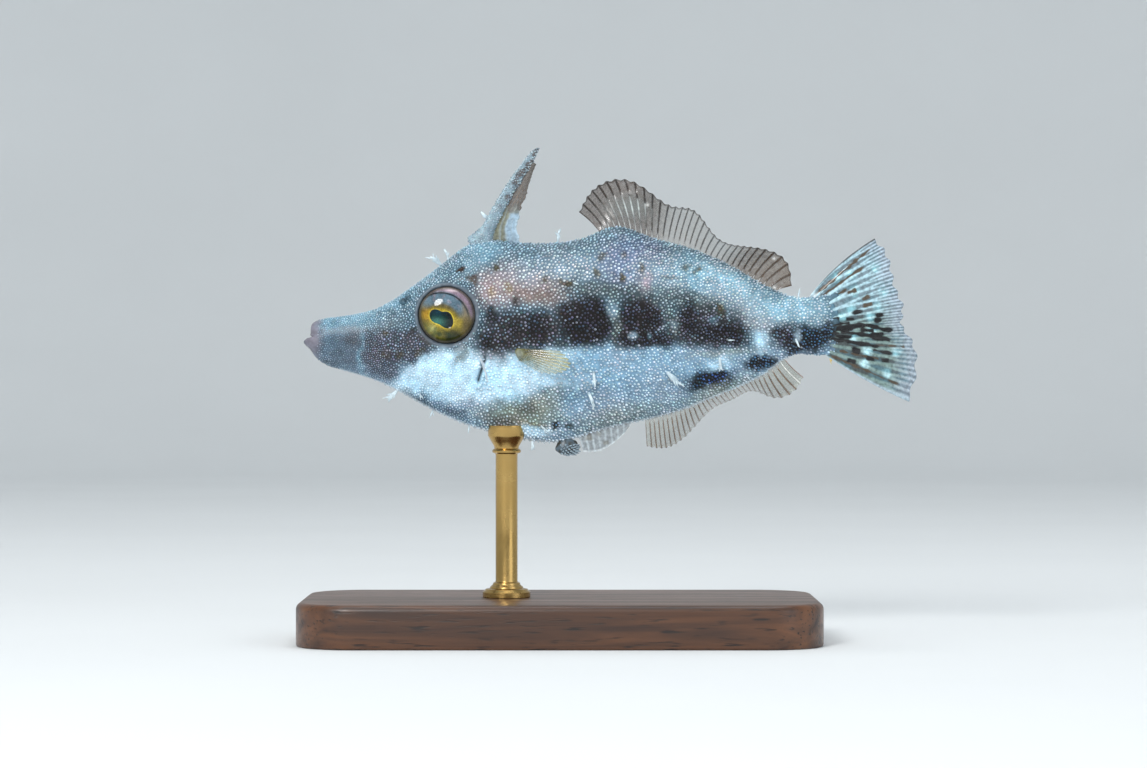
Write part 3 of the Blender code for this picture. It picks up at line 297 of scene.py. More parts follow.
MARKINGS = (
    (-21.5, 33.7, 5.0, 1.1, 8, PALE_CYAN, 0.9, 0.7),  # top of the snout
    (-16.4, 36.0, 4.2, 1.3, 33, PALE_CYAN, 0.8, 0.8),  # forehead
    (-8.4, 40.6, 2.4, 1.6, 20, PALE_CYAN, 0.9, 0.7),  # nape
    (-23.2, 30.6, 2.9, 2.2, -6, SNOUT_GREY, 0.95, 0.5),  # side of the snout
    (-22.0, 29.6, 1.6, 1.6, -10, ("#4c5a68", "#6c7c8c"), 0.7, 0.8),
    (-17.0, 30.9, 3.6, 1.8, -2, MOTTLED, 0.85, 0.35),  # mottled cheek before the eye
    (-18.6, 28.9, 1.7, 1.8, -20, MOTTLED, 0.85, 0.35),
    (-17.0, 33.6, 2.8, 1.0, 18, BLUE_GREY, 0.8, 0.8),
    (-14.6, 36.3, 1.6, 0.9, 36, BLUE_GREY, 0.8, 0.8),
    (-20.7, 29.9, 0.28, 2.1, -4, PALE_CYAN, 0.6, 0.9),  # pale bar behind the snout's front
    (-21.7, 31.5, 0.55, 0.6, -30, BROWN, 0.45, 0.9),
    (-15.5, 32.4, 0.5, 0.3, 20, BROWN, 0.7, 0.7),
    (-17.9, 32.0, 0.35, 0.3, 0, OLIVE, 0.8, 0.8),
    (-14.0, 31.2, 0.9, 0.35, -30, OLIVE, 0.45, 0.9),
    (-16.7, 29.7, 0.4, 0.35, 20, OLIVE, 0.6, 0.9),
    (-14.5, 30.1, 0.45, 0.3, 30, OLIVE, 0.6, 0.9),
    (-18.0, 29.9, 0.3, 0.35, 0, OLIVE, 0.5, 0.9),
    (-10.4, 27.7, 4.2, 2.6, 0, WHITE, 1.0, 0.2),  # throat and cheek
    (-14.8, 27.4, 2.7, 1.4, 36, WHITE, 1.0, 0.3),
    (-6.4, 27.6, 4.4, 2.6, 0, WHITE, 1.0, 0.25),
    (0.2, 28.3, 3.6, 1.9, -2, WHITE, 1.0, 0.3),  # stripe under the dark band
    (5.4, 28.6, 6.0, 2.0, 2, STRIPE, 0.95, 0.35),
    (13.2, 29.2, 5.2, 1.5, 4, STRIPE, 0.85, 0.5),
    (-10.1, 29.8, 0.65, 0.6, 20, OLIVE, 0.7, 0.9),  # brown notch behind the eye
    (-14.6, 24.9, 1.9, 0.6, -30, SNOUT_GREY, 0.9, 0.7),  # dark edge of the throat
    (-11.0, 23.8, 1.6, 0.55, -20, BLUE_BLACK, 0.6, 0.8),
    (-4.2, 23.6, 4.0, 1.3, -2, OLIVE_GREY, 0.95, 0.6),  # mottled belly
    (-2.0, 24.6, 2.2, 1.0, 30, OLIVE_GREY, 0.8, 0.7),
    (-6.2, 23.0, 1.6, 0.6, -8, BAND_GREY, 0.6, 0.9),
    (-3.4, 24.3, 0.9, 0.5, 20, BAND_GREY, 0.5, 0.9),
    (-2.9, 21.9, 2.2, 0.5, -6, WHITE, 0.95, 0.5),
    (-2.9, 22.7, 1.2, 0.2, -4, GOLD, 0.5, 0.9),
    (-0.4, 22.5, 0.5, 0.5, 0, BLUE_BLACK, 0.95, 0.4),
    (0.8, 22.4, 0.45, 0.35, 0, BLUE_BLACK, 0.9, 0.5),
    (6.5, 23.4, 5.0, 1.1, 14, OLIVE_GREY, 0.6, 0.8),
    (-3.6, 37.2, 3.6, 1.7, -8, PINK_BROWN, 0.8, 0.7),  # pink-brown patch behind the nape
    (-6.6, 36.4, 1.8, 1.5, 0, PINK_BROWN, 0.7, 0.8),
    (-2.4, 35.9, 2.4, 0.8, -6, ("#77665f", "#d8c4bc"), 0.7, 0.8),
    # From x 3 to 15 mm above the band, the bright patches are partly the flank's own pale colour and partly a
    # painted highlight, a glare over the flank.
    (0.5, 38.9, 5.0, 1.4, 6, BRIGHT, 0.8, 0.8),  # bright flank above the band
    (7.5, 39.4, 2.6, 2.0, 0, LILAC, 0.7, 0.9),
    (10.4, 38.2, 3.2, 1.6, -14, BRIGHT, 0.95, 0.8),
    (9.0, 37.4, 0.7, 0.9, 0, ("#9a8a94", "#fbeef4"), 0.7, 0.9),
    (17.0, 36.9, 4.6, 1.8, -24, BRIGHT_CYAN, 1.0, 0.7),
    (17.0, 35.9, 2.6, 1.0, -24, BRIGHT, 0.85, 0.8),
    (20.6, 33.9, 2.2, 1.3, -14, ("#948f94", "#f8f2f2"), 0.85, 0.8),
    (10.6, 37.4, 0.9, 0.4, 20, BRIGHT, 1.0, 0.7),
    (5.6, 36.4, 6.6, 0.8, -4, GREEN_GREY, 0.65, 0.9),
    (14.5, 35.2, 3.4, 0.9, -12, GREEN_GREY, 0.7, 0.9),
    (-3.9, 32.4, 4.1, 1.9, 0, BAND_GREY, 0.9, 0.35),  # dark band, from the eye to the stem
    (-6.5, 30.5, 2.0, 1.25, -4, BAND_GREY, 0.8, 0.6),
    (-7.1, 34.1, 0.7, 0.9, 10, BLACK_BROWN, 0.9, 0.6),
    (-7.6, 31.2, 0.8, 0.9, 0, BLACK_BROWN, 0.9, 0.6),
    (-4.6, 32.4, 0.7, 0.8, 0, BLACK_BROWN, 0.8, 0.7),
    (-2.4, 32.4, 1.1, 1.3, 0, BLACK_BROWN, 0.9, 0.6),
    (-5.0, 30.7, 1.3, 0.5, 0, BLACK_BROWN, 0.7, 0.8),
    (2.5, 33.2, 2.9, 2.6, 0, BLACK_BROWN, 1.0, 0.25),
    (8.3, 33.3, 2.5, 2.4, -4, BAND_GREY, 0.95, 0.3),
    (7.8, 33.6, 1.9, 1.6, 0, BLACK_BROWN, 0.85, 0.6),
    (9.5, 33.4, 0.8, 0.9, 0, BLACK_BROWN, 0.9, 0.6),
    (8.8, 31.4, 3.4, 0.85, 0, BLACK_BROWN, 0.95, 0.4),
    (15.4, 32.6, 3.8, 2.1, 0, BAND_GREY, 0.85, 0.35),
    (13.4, 33.6, 1.0, 1.8, 0, BLACK_BROWN, 0.9, 0.6),
    (15.4, 32.0, 1.5, 1.1, 0, BLACK_BROWN, 0.95, 0.6),
    (17.6, 32.0, 1.7, 1.1, -4, BLACK_BROWN, 1.0, 0.5),
    (18.3, 33.4, 0.5, 0.6, 0, BLACK_BROWN, 0.9, 0.7),
    (16.8, 34.5, 0.4, 0.4, 0, OLIVE, 0.8, 0.7),
    (1.0, 34.6, 1.2, 0.6, 20, BAND_GREY, 0.5, 0.9),  # paler places inside the band
    (5.75, 33.4, 0.4, 2.3, 4, GREEN_GREY, 0.85, 0.8),
    (5.5, 34.6, 0.4, 0.8, 20, BRIGHT, 0.7, 0.8),
    (7.5, 31.8, 0.45, 0.35, 0, BRIGHT, 0.95, 0.6),
    (9.4, 31.9, 0.3, 0.22, 0, PALE_CYAN, 0.6, 0.7),
    (11.5, 33.4, 0.5, 1.4, 14, GREEN_GREY, 0.8, 0.9),
    (11.8, 33.0, 0.3, 0.5, 30, BRIGHT, 0.6, 0.8),
    (15.9, 33.6, 0.5, 0.3, 0, PALE_CYAN, 0.5, 0.8),
    (16.8, 29.0, 1.2, 0.7, 40, WHITE, 0.95, 0.8),
    (21.0, 31.2, 0.9, 1.1, 0, WHITE, 0.85, 0.8),
    (17.0, 30.1, 2.8, 0.35, 6, OLIVE_GREY, 0.6, 0.8),
    (23.1, 32.0, 1.1, 0.8, -14, BLUE_BLACK, 0.9, 0.7),
    (25.2, 31.5, 2.9, 1.3, -4, BAND_GREY, 1.0, 0.6),  # dark lower half of the stem
    (26.5, 31.8, 2.3, 1.4, -8, BLUE_BLACK, 1.0, 0.4),
    (24.5, 30.5, 1.0, 0.5, -14, BLUE_BLACK, 0.9, 0.7),
    (24.9, 31.9, 0.25, 0.5, 0, WHITE, 0.5, 0.8),
    (26.2, 33.6, 0.35, 0.36, 0, BLUE_BLACK, 1.0, 0.5),
    (28.1, 33.1, 0.6, 0.5, 0, BLUE_BLACK, 0.9, 0.6),
    (15.6, 27.2, 2.8, 1.0, 12, BLUE_BLACK, 1.0, 0.4),  # dark patches over the anal fin
    (16.3, 27.4, 1.2, 0.6, 12, ("#030509", "#4a78d0"), 0.9, 0.6),
    (20.9, 29.0, 1.8, 0.7, 14, BLUE_BLACK, 1.0, 0.4),
    (16.8, 26.0, 3.6, 0.9, 22, OLIVE_GREY, 0.75, 0.7),
    (-9.1, 37.7, 0.55, 0.48, 0, BROWN, 1.0, 0.45),  # small spots
    (-10.3, 38.8, 0.75, 0.32, 30, BROWN, 1.0, 0.4),
    (-6.7, 38.8, 0.35, 0.45, 0, OLIVE, 0.9, 0.6),
    (-4.5, 35.3, 0.4, 0.45, 0, BROWN, 0.9, 0.6),
    (-6.9, 36.4, 0.35, 0.35, 0, GOLD, 0.65, 0.8),
    (-5.4, 36.7, 0.4, 0.35, 0, GOLD, 0.65, 0.8),
    (-1.3, 37.5, 0.4, 0.35, 0, OLIVE, 0.8, 0.6),
    (0.65, 37.3, 0.6, 0.3, 0, OLIVE, 0.9, 0.6),
    (4.5, 40.1, 0.4, 0.35, 0, OLIVE, 0.75, 0.7),
    (3.9, 38.3, 0.4, 0.5, 0, OLIVE, 0.8, 0.6),
    (6.6, 38.0, 0.35, 0.5, 0, OLIVE, 0.9, 0.6),
    (8.3, 38.7, 0.35, 0.45, 0, OLIVE, 0.85, 0.6),
    (6.6, 40.1, 0.35, 0.4, 0, OLIVE, 0.7, 0.7),
    (13.0, 39.0, 0.35, 0.3, 0, OLIVE, 0.7, 0.7),
    (14.2, 38.6, 0.4, 0.35, 0, OLIVE, 0.8, 0.6),
    (11.5, 37.8, 0.8, 0.2, 6, OLIVE, 0.6, 0.8),
    (24.0, 34.6, 4.2, 1.4, 0, BRIGHT_CYAN, 0.9, 0.7),  # pale back of the stem
    (-16.2, 35.6, 0.4, 0.3, 30, BLUE_BLACK, 0.7, 0.6),  # dark place before the nostrils
    (-25.9, 31.7, 1.0, 2.4, 0, ("#7c7884", "#98949e"), 0.85, 0.5),  # lips
)


def skin_colours(points):
    """Ground and tip colours of the coat at places on the body, as two arrays of linear colours."""
    x, y, z = points.T
    shift_x = 0.5 * noise_at(points, 1.6, 3.1) + 0.30 * noise_at(points, 0.5, 7.7)
    shift_z = 0.4 * noise_at(points, 1.6, 12.3) + 0.28 * noise_at(points, 0.5, 17.9)
    height = (z - belly_height(np.clip(x, station_xs[0], SKIN_END_X))) / (back_height(x) - belly_height(x))
    belly_weight = smooth_step(0.42, 0.1, height)
    colours = [mixed(linear(above), linear(below), belly_weight) for above, below in zip(BLUE_GREY, BELLY)]
    for place_x, place_z, half_x, half_z, tilt, shades, strength, softness in MARKINGS:
        along, up = x + shift_x - place_x, z + shift_z - place_z
        turn = math.radians(tilt)
        away = (np.abs((along * math.cos(turn) + up * math.sin(turn)) / half_x) ** MARKING_ROUNDNESS
                + np.abs((up * math.cos(turn) - along * math.sin(turn)) / half_z) ** MARKING_ROUNDNESS)
        weight = strength * smooth_step(1 + softness, 1 - softness, away ** (1 / MARKING_ROUNDNESS))
        colours = [blend(colour, (shade, weight)) for colour, shade in zip(colours, shades)]
    # The sprayed colours cloud over from cyan to lilac and from light to dark, and the keel has a pale rim.
    hue, cloud = noise_at(points, 2.4, 31.0), noise_at(points, 0.75, 41.0)
    clouded = np.stack([1 + 0.16 * hue, 1 + 0.02 * hue, 1 - 0.02 * hue], -1) * (1 + 0.3 * cloud[:, None])
    rim = 0.7 * smooth_step(0.4, 0.15, np.abs(y)) * (z < widest_height(x)) * (x > -23) * (x < 23.5)
    return [blend(colour * clouded, ("#dbe8f2", rim)) for colour in colours]


def with_poles(values, at_poles):
    """Values for the points of the skin's rings, and one for each of the two poles that close them."""
    return np.append(values, [at_poles, at_poles])


turns = np.arange(SKIN_SIDES) * 360.0 / SKIN_SIDES
snout_shares = np.sin(np.linspace(0.02, 0.97, SNOUT_RINGS) * math.pi / 2)
body_xs = np.concatenate([np.linspace(station_xs[0], NECK_X, HEAD_RINGS),
                          np.linspace(NECK_X, SKIN_END_X, TRUNK_RINGS)[1:]])
skin_grid = np.concatenate([snout_points(snout_shares[:, None], turns[None, :], -COAT_DEPTH),
                            body_points(body_xs[:, None], turns[None, :], -COAT_DEPTH)])
flat_skin = skin_grid.reshape(-1, 3)
side_of = np.sign(flat_skin[:, 1])
eye_distance = np.hypot(flat_skin[:, 0] - EYE_X, flat_skin[:, 2] - EYE_HEIGHT)
eye_middle_y = float(flank(EYE_X, EYE_HEIGHT)) - EYE_SINK

# The skin is drawn down to a low level ring round the eye, stands up in a thin lid there and then falls
# into the socket, which the eye fills.
orbit = smooth_step(ORBIT_OUTER, ORBIT_INNER + 0.1, eye_distance)
depth = np.abs(flat_skin[:, 1]) * (1 - orbit) + (eye_middle_y + ORBIT_LEVEL) * orbit
depth += LID_HEIGHT * np.exp(-((eye_distance - LID_RADIUS) / LID_WIDTH) ** 2)
socket = smooth_step(ORBIT_INNER, ORBIT_INNER - 0.42, eye_distance)
depth = depth * (1 - socket) + (eye_middle_y + ORBIT_FLOOR) * socket

# The gill slit is a short groove whose rear edge is a raised fold.
slit_tilt = math.radians(GILL_TILT)
from_slit_x, from_slit_z = flat_skin[:, 0] - GILL_X, flat_skin[:, 2] - GILL_HEIGHT
along_slit = from_slit_z * math.cos(slit_tilt) + from_slit_x * math.sin(slit_tilt)
across_slit = from_slit_x * math.cos(slit_tilt) - from_slit_z * math.sin(slit_tilt)
slit_reach = smooth_step(GILL_LENGTH * 0.62, GILL_LENGTH * 0.42, np.abs(along_slit))
depth -= GROOVE_DEPTH * np.exp(-(across_slit / GROOVE_HALF_WIDTH) ** 2) * slit_reach
depth += FOLD_HEIGHT * np.exp(-((across_slit - FOLD_BEHIND) / FOLD_HALF_WIDTH) ** 2) * slit_reach

# The casting waves a little, but keeps its line along the back and the belly.
off_midline = smooth_step(0.3, 1.2, np.abs(flat_skin[:, 1]))
depth += SKIN_WAVE * noise_at(flat_skin, SKIN_WAVE_PITCH, 1.0) * off_midline
on_flank = np.abs(flat_skin[:, 1]) > MIDLINE_HALF_WIDTH
flat_skin[:, 1] = np.where(on_flank, side_of * np.maximum(depth, MIDLINE_HALF_WIDTH), flat_skin[:, 1])

# At its end the skin thins out on to the roots of the tail's rays, with an uneven edge.
thinning = smooth_step(TAIL_THINNING_X, SKIN_END_X, flat_skin[:, 0])
uneven_end = noise_at(flat_skin * np.array([0, 1, 1]), END_RAGGED_PITCH, 6.0)
flat_skin[:, 0] += END_RAGGEDNESS * thinning ** 2 * uneven_end
flat_skin[:, 1] *= 1 - END_THINNING * thinning

skin_points, skin_faces = closed_rings(skin_grid, snout_points(np.array(0.0), np.array(0.0), -COAT_DEPTH),
                                       [SKIN_END_X, 0.0, float(widest_height(SKIN_END_X))])

skin_finish, skin_tree, skin_inputs = new_finish("skin_satin_lacquered_resin", {
    "IOR": 1.45, "Specular IOR Level": 0.3, "Coat Weight": 0.1, "Coat Roughness": 0.18})
# The skin between the granules is faintly wrinkled at a fifth of a millimetre, as wet fish skin is, which
# breaks its highlights into fine glints.
place, blotches, _ = uneven_paint(skin_tree, skin_inputs, "ground", BLOTCH_PITCH, 3.0, (0.3, 0.7),
                                  (0.78, 1.18))
wrinkles = add_node(skin_tree, "ShaderNodeTexNoise", None,
                    {"Vector": place, "Scale": 1 / (WRINKLE_PITCH * MM), "Detail": 2.0})
add_node(skin_tree, "ShaderNodeMapRange", None,
         {"Value": blotches, "From Min": 0.3, "From Max": 0.7, "To Min": 0.34, "To Max": 0.52},
         {"Result": skin_inputs["Roughness"]})
add_node(skin_tree, "ShaderNodeBump", None,
         {"Height": wrinkles.outputs["Fac"], "Strength": 0.35, "Distance": 0.05 * MM},
         {"Normal": skin_inputs["Normal"]})

skin = mesh_piece("skin", skin_points, skin_faces, skin_finish)
# Painted shade: the socket behind the eye and the groove of the gill slit are painted near black, as shade in
# these recesses.
in_socket = with_poles(smooth_step(ORBIT_INNER + 0.02, ORBIT_INNER - 0.25, eye_distance), 0)
in_slit = with_poles(np.exp(-(across_slit / 0.14) ** 2) * slit_reach, 0)
lid = with_poles(np.exp(-((eye_distance - LID_RADIUS + 0.05) / 0.2) ** 2), 0)
paint(skin, "ground", blend(skin_colours(skin_points)[0],
                            ("#747a84", lid * 0.6), ("#1a1416", np.maximum(in_socket, in_slit))))


# Granules. Each of the fish's scales is a tiny upright spine, so the skin feels like velvet. On the model
# they are resin grit, pressed in with their tips to the tail and dry-brushed, so that their tips are paler
# than the ground between them. They are 0.3 mm apart on the trunk, and closer in front of it and behind it.
GRANULE_SIDES = 6
GRANULE_RINGS = ((1.0, -0.35, 0.0), (0.66, 0.55, 0.16), (0.0, 1.0, 0.5))  # width, height and lean
SPARKLE_SHARE = 0.05
BAKE_PATCH = 0.003
# Where the granules end, and where one part of the coat gives way to the next: the two ends of each soft
# edge, and half the width of the bare strip along the gill slit.
BARE_EYE_RING, BARE_LIPS, BARE_END, BARE_SLIT_HALF = (3.42, 3.26), (-25.0, -25.6), (28.5, 28.8), 0.3
SNOUT_EDGE, HEAD_EDGE, REAR_EDGE = (-17.2, -19.0), (-8.0, -9.4), (8.0, 8.4)


def angles_round(sides):
    """Angles that go once round in equal steps."""
    return np.arange(sides) * 2 * math.pi / sides


def granule_mesh():
    """One granule with a base 1 across, 1 high, leaning to +X, in metres so that a size scales it."""
    points = []
    for radius, height, lean in GRANULE_RINGS[:-1]:
        for angle in angles_round(GRANULE_SIDES):
            points.append((radius / 2 * math.cos(angle) + lean, radius / 2 * math.sin(angle), height))
    points.append((GRANULE_RINGS[-1][2], 0.0, GRANULE_RINGS[-1][1]))
    faces = grid_faces(len(GRANULE_RINGS) - 1, GRANULE_SIDES, closed=True).tolist()
    top = len(points) - 1 - GRANULE_SIDES
    faces += [(top + i, top + (i + 1) % GRANULE_SIDES, len(points) - 1) for i in range(GRANULE_SIDES)]
    mesh = bpy.data.meshes.new("granule")
    mesh.from_pydata(points, [], [tuple(face) for face in faces])
    made = bpy.data.objects.new("granule", mesh)
    bpy.context.scene.collection.objects.link(made)
    return made


def scatter_tree():
    """Geometry Nodes that stand copies of a small shape on a surface, evenly apart, leaning to the tail."""
    tree = bpy.data.node_groups.new("granules_on_skin", "GeometryNodeTree")
    for name, kind in (("Skin", "Geometry"), ("Shape", "Object"), ("Where", "String"), ("Pitch", "Float"),
                       ("Width", "Float"), ("Height", "Float"), ("Seed", "Int"), ("Finish", "Material")):
        tree.interface.new_socket(name, in_out="INPUT", socket_type="NodeSocket" + kind)
    tree.interface.new_socket("Coat", in_out="OUTPUT", socket_type="NodeSocketGeometry")
    given = add_node(tree, "NodeGroupInput").outputs
    where = add_node(tree, "GeometryNodeInputNamedAttribute", {"data_type": "FLOAT"},
                     {"Name": given["Where"]})
    area = add_node(tree, "ShaderNodeMath", {"operation": "MULTIPLY"}, {0: given["Pitch"], 1: given["Pitch"]})
    density = add_node(tree, "ShaderNodeMath", {"operation": "DIVIDE"}, {0: 5.0, 1: area.outputs[0]})
    spots = add_node(tree, "GeometryNodeDistributePointsOnFaces", {"distribute_method": "POISSON"},
                     {"Mesh": given["Skin"], "Distance Min": given["Pitch"], "Seed": given["Seed"],
                      "Density Max": density.outputs[0], "Density Factor": where.outputs["Attribute"]})
    upright = add_node(tree, "FunctionNodeAlignRotationToVector", {"axis": "Z"},
                       {"Vector": spots.outputs["Normal"]})
    aimed = add_node(tree, "FunctionNodeAlignRotationToVector", {"axis": "X", "pivot_axis": "Z"},
                     {"Rotation": upright.outputs["Rotation"], "Vector": (1.0, 0.0, 0.0)})
    growth = add_node(tree, "FunctionNodeRandomValue", {"data_type": "FLOAT"},
                      {2: 0.72, 3: 1.25, "Seed": given["Seed"]})
    sizes = add_node(tree, "ShaderNodeCombineXYZ", None,
                     {"X": given["Width"], "Y": given["Width"], "Z": given["Height"]})
    scaled = add_node(tree, "ShaderNodeVectorMath", {"operation": "SCALE"},
                      {0: sizes.outputs[0], "Scale": growth.outputs[1]})
    shape = add_node(tree, "GeometryNodeObjectInfo", None, {"Object": given["Shape"]})
    placed = add_node(tree, "GeometryNodeInstanceOnPoints", None,
                      {"Points": spots.outputs["Points"], "Instance": shape.outputs["Geometry"],
                       "Rotation": aimed.outputs["Rotation"], "Scale": scaled.outputs["Vector"]})
    real = add_node(tree, "GeometryNodeRealizeInstances", None, {"Geometry": placed.outputs["Instances"]})
    coated = add_node(tree, "GeometryNodeSetMaterial", None,
                      {"Geometry": real.outputs["Geometry"], "Material": given["Finish"]})
    add_node(tree, "NodeGroupOutput", None, {"Coat": coated.outputs["Geometry"]})
    return tree


def unwrap(points):
    """Where places on the body lie on its own unwrap: along it, and round it from the belly."""
    x, y, z = points.T
    middle, reach, power = closing(x, z >= widest_height(x))
    side = np.clip(np.abs(y) / half_width(x), 0, 1) ** (1 / power)
    turn = np.arctan2(np.clip((z - middle) / reach, -1, 1), np.sign(y) * side)
    around = ((np.degrees(turn) + 90) % 360) / 360
    along = (x - station_xs[0] + 3) / (SKIN_END_X - station_xs[0] + 4)
    return np.stack([0.01 + 0.97 * along, 0.01 + 0.97 * around], axis=1)


def coat_piece(base, name, shape, tree, where, pitch, width, height, seed, surface):
    """A plain mesh of granules standing on a base, where one of its attributes is 1."""
    piece = bpy.data.objects.new(name, base.data)
    bpy.context.scene.collection.objects.link(piece)
    scatter = piece.modifiers.new("granules", "NODES")
    scatter.node_group = tree
    given = {"Shape": shape, "Where": where, "Pitch": pitch * MM, "Width": width * MM, "Height": height * MM,
             "Seed": seed, "Finish": surface}
    for socket in tree.interface.items_tree:
        if socket.name in given:
            scatter[socket.identifier] = given[socket.name]
    graph = bpy.context.evaluated_depsgraph_get()
    made = bpy.data.meshes.new_from_object(piece.evaluated_get(graph))
    piece.modifiers.clear()
    piece.data = made
    made.name = name
    made.shade_smooth()
    for handed_on in ("ground", where):
        made.attributes.remove(made.attributes[handed_on])
    return piece


def paint_coat(piece, shape, brightness, seed, colours_at, unwrap_at):
    """Colours each granule from ground at its root to its own tip colour, and lays out its bake patch."""
    each = len(shape.data.vertices)
    places = np.empty(len(piece.data.vertices) * 3)
    piece.data.vertices.foreach_get("co", places)
    places = places.reshape(-1, each, 3) / MM
    roots = places[:, :GRANULE_SIDES].mean(axis=1)
    ground, tips = colours_at(roots)
    draw = np.random.default_rng(seed)
    uneven = draw.uniform(brightness[0], brightness[1], (len(roots), 1))
    uneven = uneven * (1 + draw.uniform(-1, 1, tips.shape) * np.array([0.14, 0.04, 0.08]))
    # The tips vary least where the ground is white and most where it is black.
    contrast = smooth_step(0.75, 0.4, ground[:, 1:2]) + smooth_step(0.1, 0.02, ground[:, 1:2])
    # A few tips, picked at random, are painted near white: these are painted glints of light.
    sparkling = draw.uniform(0, 1, len(roots)) < SPARKLE_SHARE
    tips = blend(tips * (1 + (uneven - 1) * contrast), ("#e4f0ff", sparkling * (0.4 + 0.4 * ground[:, 1])))
    local = np.array([vertex.co for vertex in shape.data.vertices])
    rise = smooth_step(0.1, 0.95, local[:, 2])[None, :, None]
    paint(piece, "ground", (ground[:, None] * (1 - rise) + tips[:, None] * rise).reshape(-1, 3))
    patch = BAKE_PATCH * (local[:, :2] - local[:, :2].mean(axis=0))
    uvs = (unwrap_at(roots)[:, None] + patch[None]).reshape(-1, 2)
    corners = np.empty(len(piece.data.loops), int)
    piece.data.loops.foreach_get("vertex_index", corners)
    layer = piece.data.uv_layers.new(name="OFBake")
    layer.data.foreach_set("uv", uvs[corners].ravel())


granule_finish, granule_tree, granule_inputs = new_finish("granules_dry_brushed_resin", {
    "Roughness": 0.3, "Specular IOR Level": 0.3, "Coat Weight": 0.15, "Coat Roughness": 0.1})
# Every granule is glossy and slightly uneven in tone, so that the coat glitters.
uneven_paint(granule_tree, granule_inputs, "ground", 0.3, 1.0, (0.35, 0.65), (0.85, 1.12))

# Where each part of the coat grows: nowhere in the sockets, the mouth or the gill slit.
x_all, _, z_all = skin_points.T
bare = with_poles(smooth_step(*BARE_EYE_RING, eye_distance), 1)
bare = np.maximum(bare, with_poles(np.exp(-(across_slit / BARE_SLIT_HALF) ** 2) * slit_reach, 0))
bare = np.maximum(bare, smooth_step(*BARE_LIPS, x_all))
bare = np.maximum(bare, smooth_step(*BARE_END, x_all + 0.4 * np.sin(5 * z_all)))
snout = smooth_step(*SNOUT_EDGE, x_all + 0.25 * (z_all - 30))
head = smooth_step(*HEAD_EDGE, x_all) * (1 - snout)
rear = smooth_step(*REAR_EDGE, x_all + 0.3 * np.sin(3 * z_all))
trunk = (1 - snout) * (1 - head) * (1 - rear)
coat_parts = {"on_snout": snout, "on_head": head, "on_trunk": trunk, "on_rear": rear}
for name, where in coat_parts.items():
    paint(skin, name, np.where(where * (1 - bare) > 0.5, 1.0, 0.0))

granule = granule_mesh()
granule_nodes = scatter_tree()
# Name, where it grows, pitch, width, height, and the least and greatest brightness of its tips.
COATS = (
    ("snout_granules", "on_snout", 0.20, 0.18, 0.08, (0.85, 1.1)),
    ("head_granules", "on_head", 0.25, 0.24, 0.12, (0.65, 1.2)),
    ("trunk_granules", "on_trunk", 0.30, 0.29, 0.15, (0.55, 1.25)),
    ("rear_granules", "on_rear", 0.27, 0.26, 0.14, (0.55, 1.25)),
)
coats = []
for seed, (name, where, pitch, width, height, brightness) in enumerate(COATS):
    coat = coat_piece(skin, name, granule, granule_nodes, where, pitch, width, height, seed, granule_finish)
    paint_coat(coat, granule, brightness, seed, skin_colours, unwrap)
    coats.append(coat)
for name in coat_parts:
    skin.data.attributes.remove(skin.data.attributes[name])

for piece, slot in zip([skin] + coats, ("flank_skin", "head_skin", "head_skin", "flank_skin", "stem_skin")):
    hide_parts("head", "torso", "tail_stem")
    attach(piece, "root")


# Eyes. Each is a blown glass eye, painted from behind and set in its socket under a thin lid of skin. The
# iris is gold and olive round a bean-shaped pupil, and turns grey-blue and lilac above, as in the live fish.
RIGHT, LEFT = 1, -1
EYE_RINGS, EYE_SIDES = 90, 180
EYE_RADIUS, EYE_HALF_DEPTH, EYE_ROUNDNESS, EYE_BACK = 3.02, 1.62, 2.4, -0.6
IRIS_MIDDLE, PUPIL_MIDDLE = (-0.6, -0.65), (-0.5, -0.38)
PUPIL_RADII = (1.18, 0.97, 0.73, 1.29, 1.17, 0.73, 0.77, 1.33)  # every 45 degrees, from the tail over the top
PUPIL_SETBACK = 0.07


def plain(hex_colour, shape):
    """One sRGB hex colour for every place of an array of that shape."""
    return np.zeros((*shape, 3)) + linear(hex_colour)


def patch(x, z, middle_x, middle_z, half_x, half_z):
    """1 in the middle of an ellipse, falling softly to 0 outside it."""
    return np.exp(-(((x - middle_x) / half_x) ** 2 + ((z - middle_z) / half_z) ** 2))


pupil_edge = curve_through([45 * i for i in range(-3, 12)], [PUPIL_RADII[i % 8] for i in range(-3, 12)])
eye_radii = EYE_RADIUS * np.linspace(0, 1, EYE_RINGS + 1)[1:, None]
eye_angles = np.radians(np.arange(EYE_SIDES) * 360 / EYE_SIDES)[None, :]
rearward, upward = eye_radii * np.cos(eye_angles), eye_radii * np.sin(eye_angles)
pupil_turn = np.degrees(np.arctan2(upward - PUPIL_MIDDLE[1], rearward - PUPIL_MIDDLE[0])) % 360
from_pupil = np.hypot(rearward - PUPIL_MIDDLE[0], upward - PUPIL_MIDDLE[1]) - pupil_edge(pupil_turn)
dome = EYE_HALF_DEPTH * np.sqrt(np.maximum(1 - (eye_radii / EYE_RADIUS) ** EYE_ROUNDNESS, 0))
dome = dome + np.zeros_like(rearward) - PUPIL_SETBACK * smooth_step(0.05, -0.12, from_pupil)

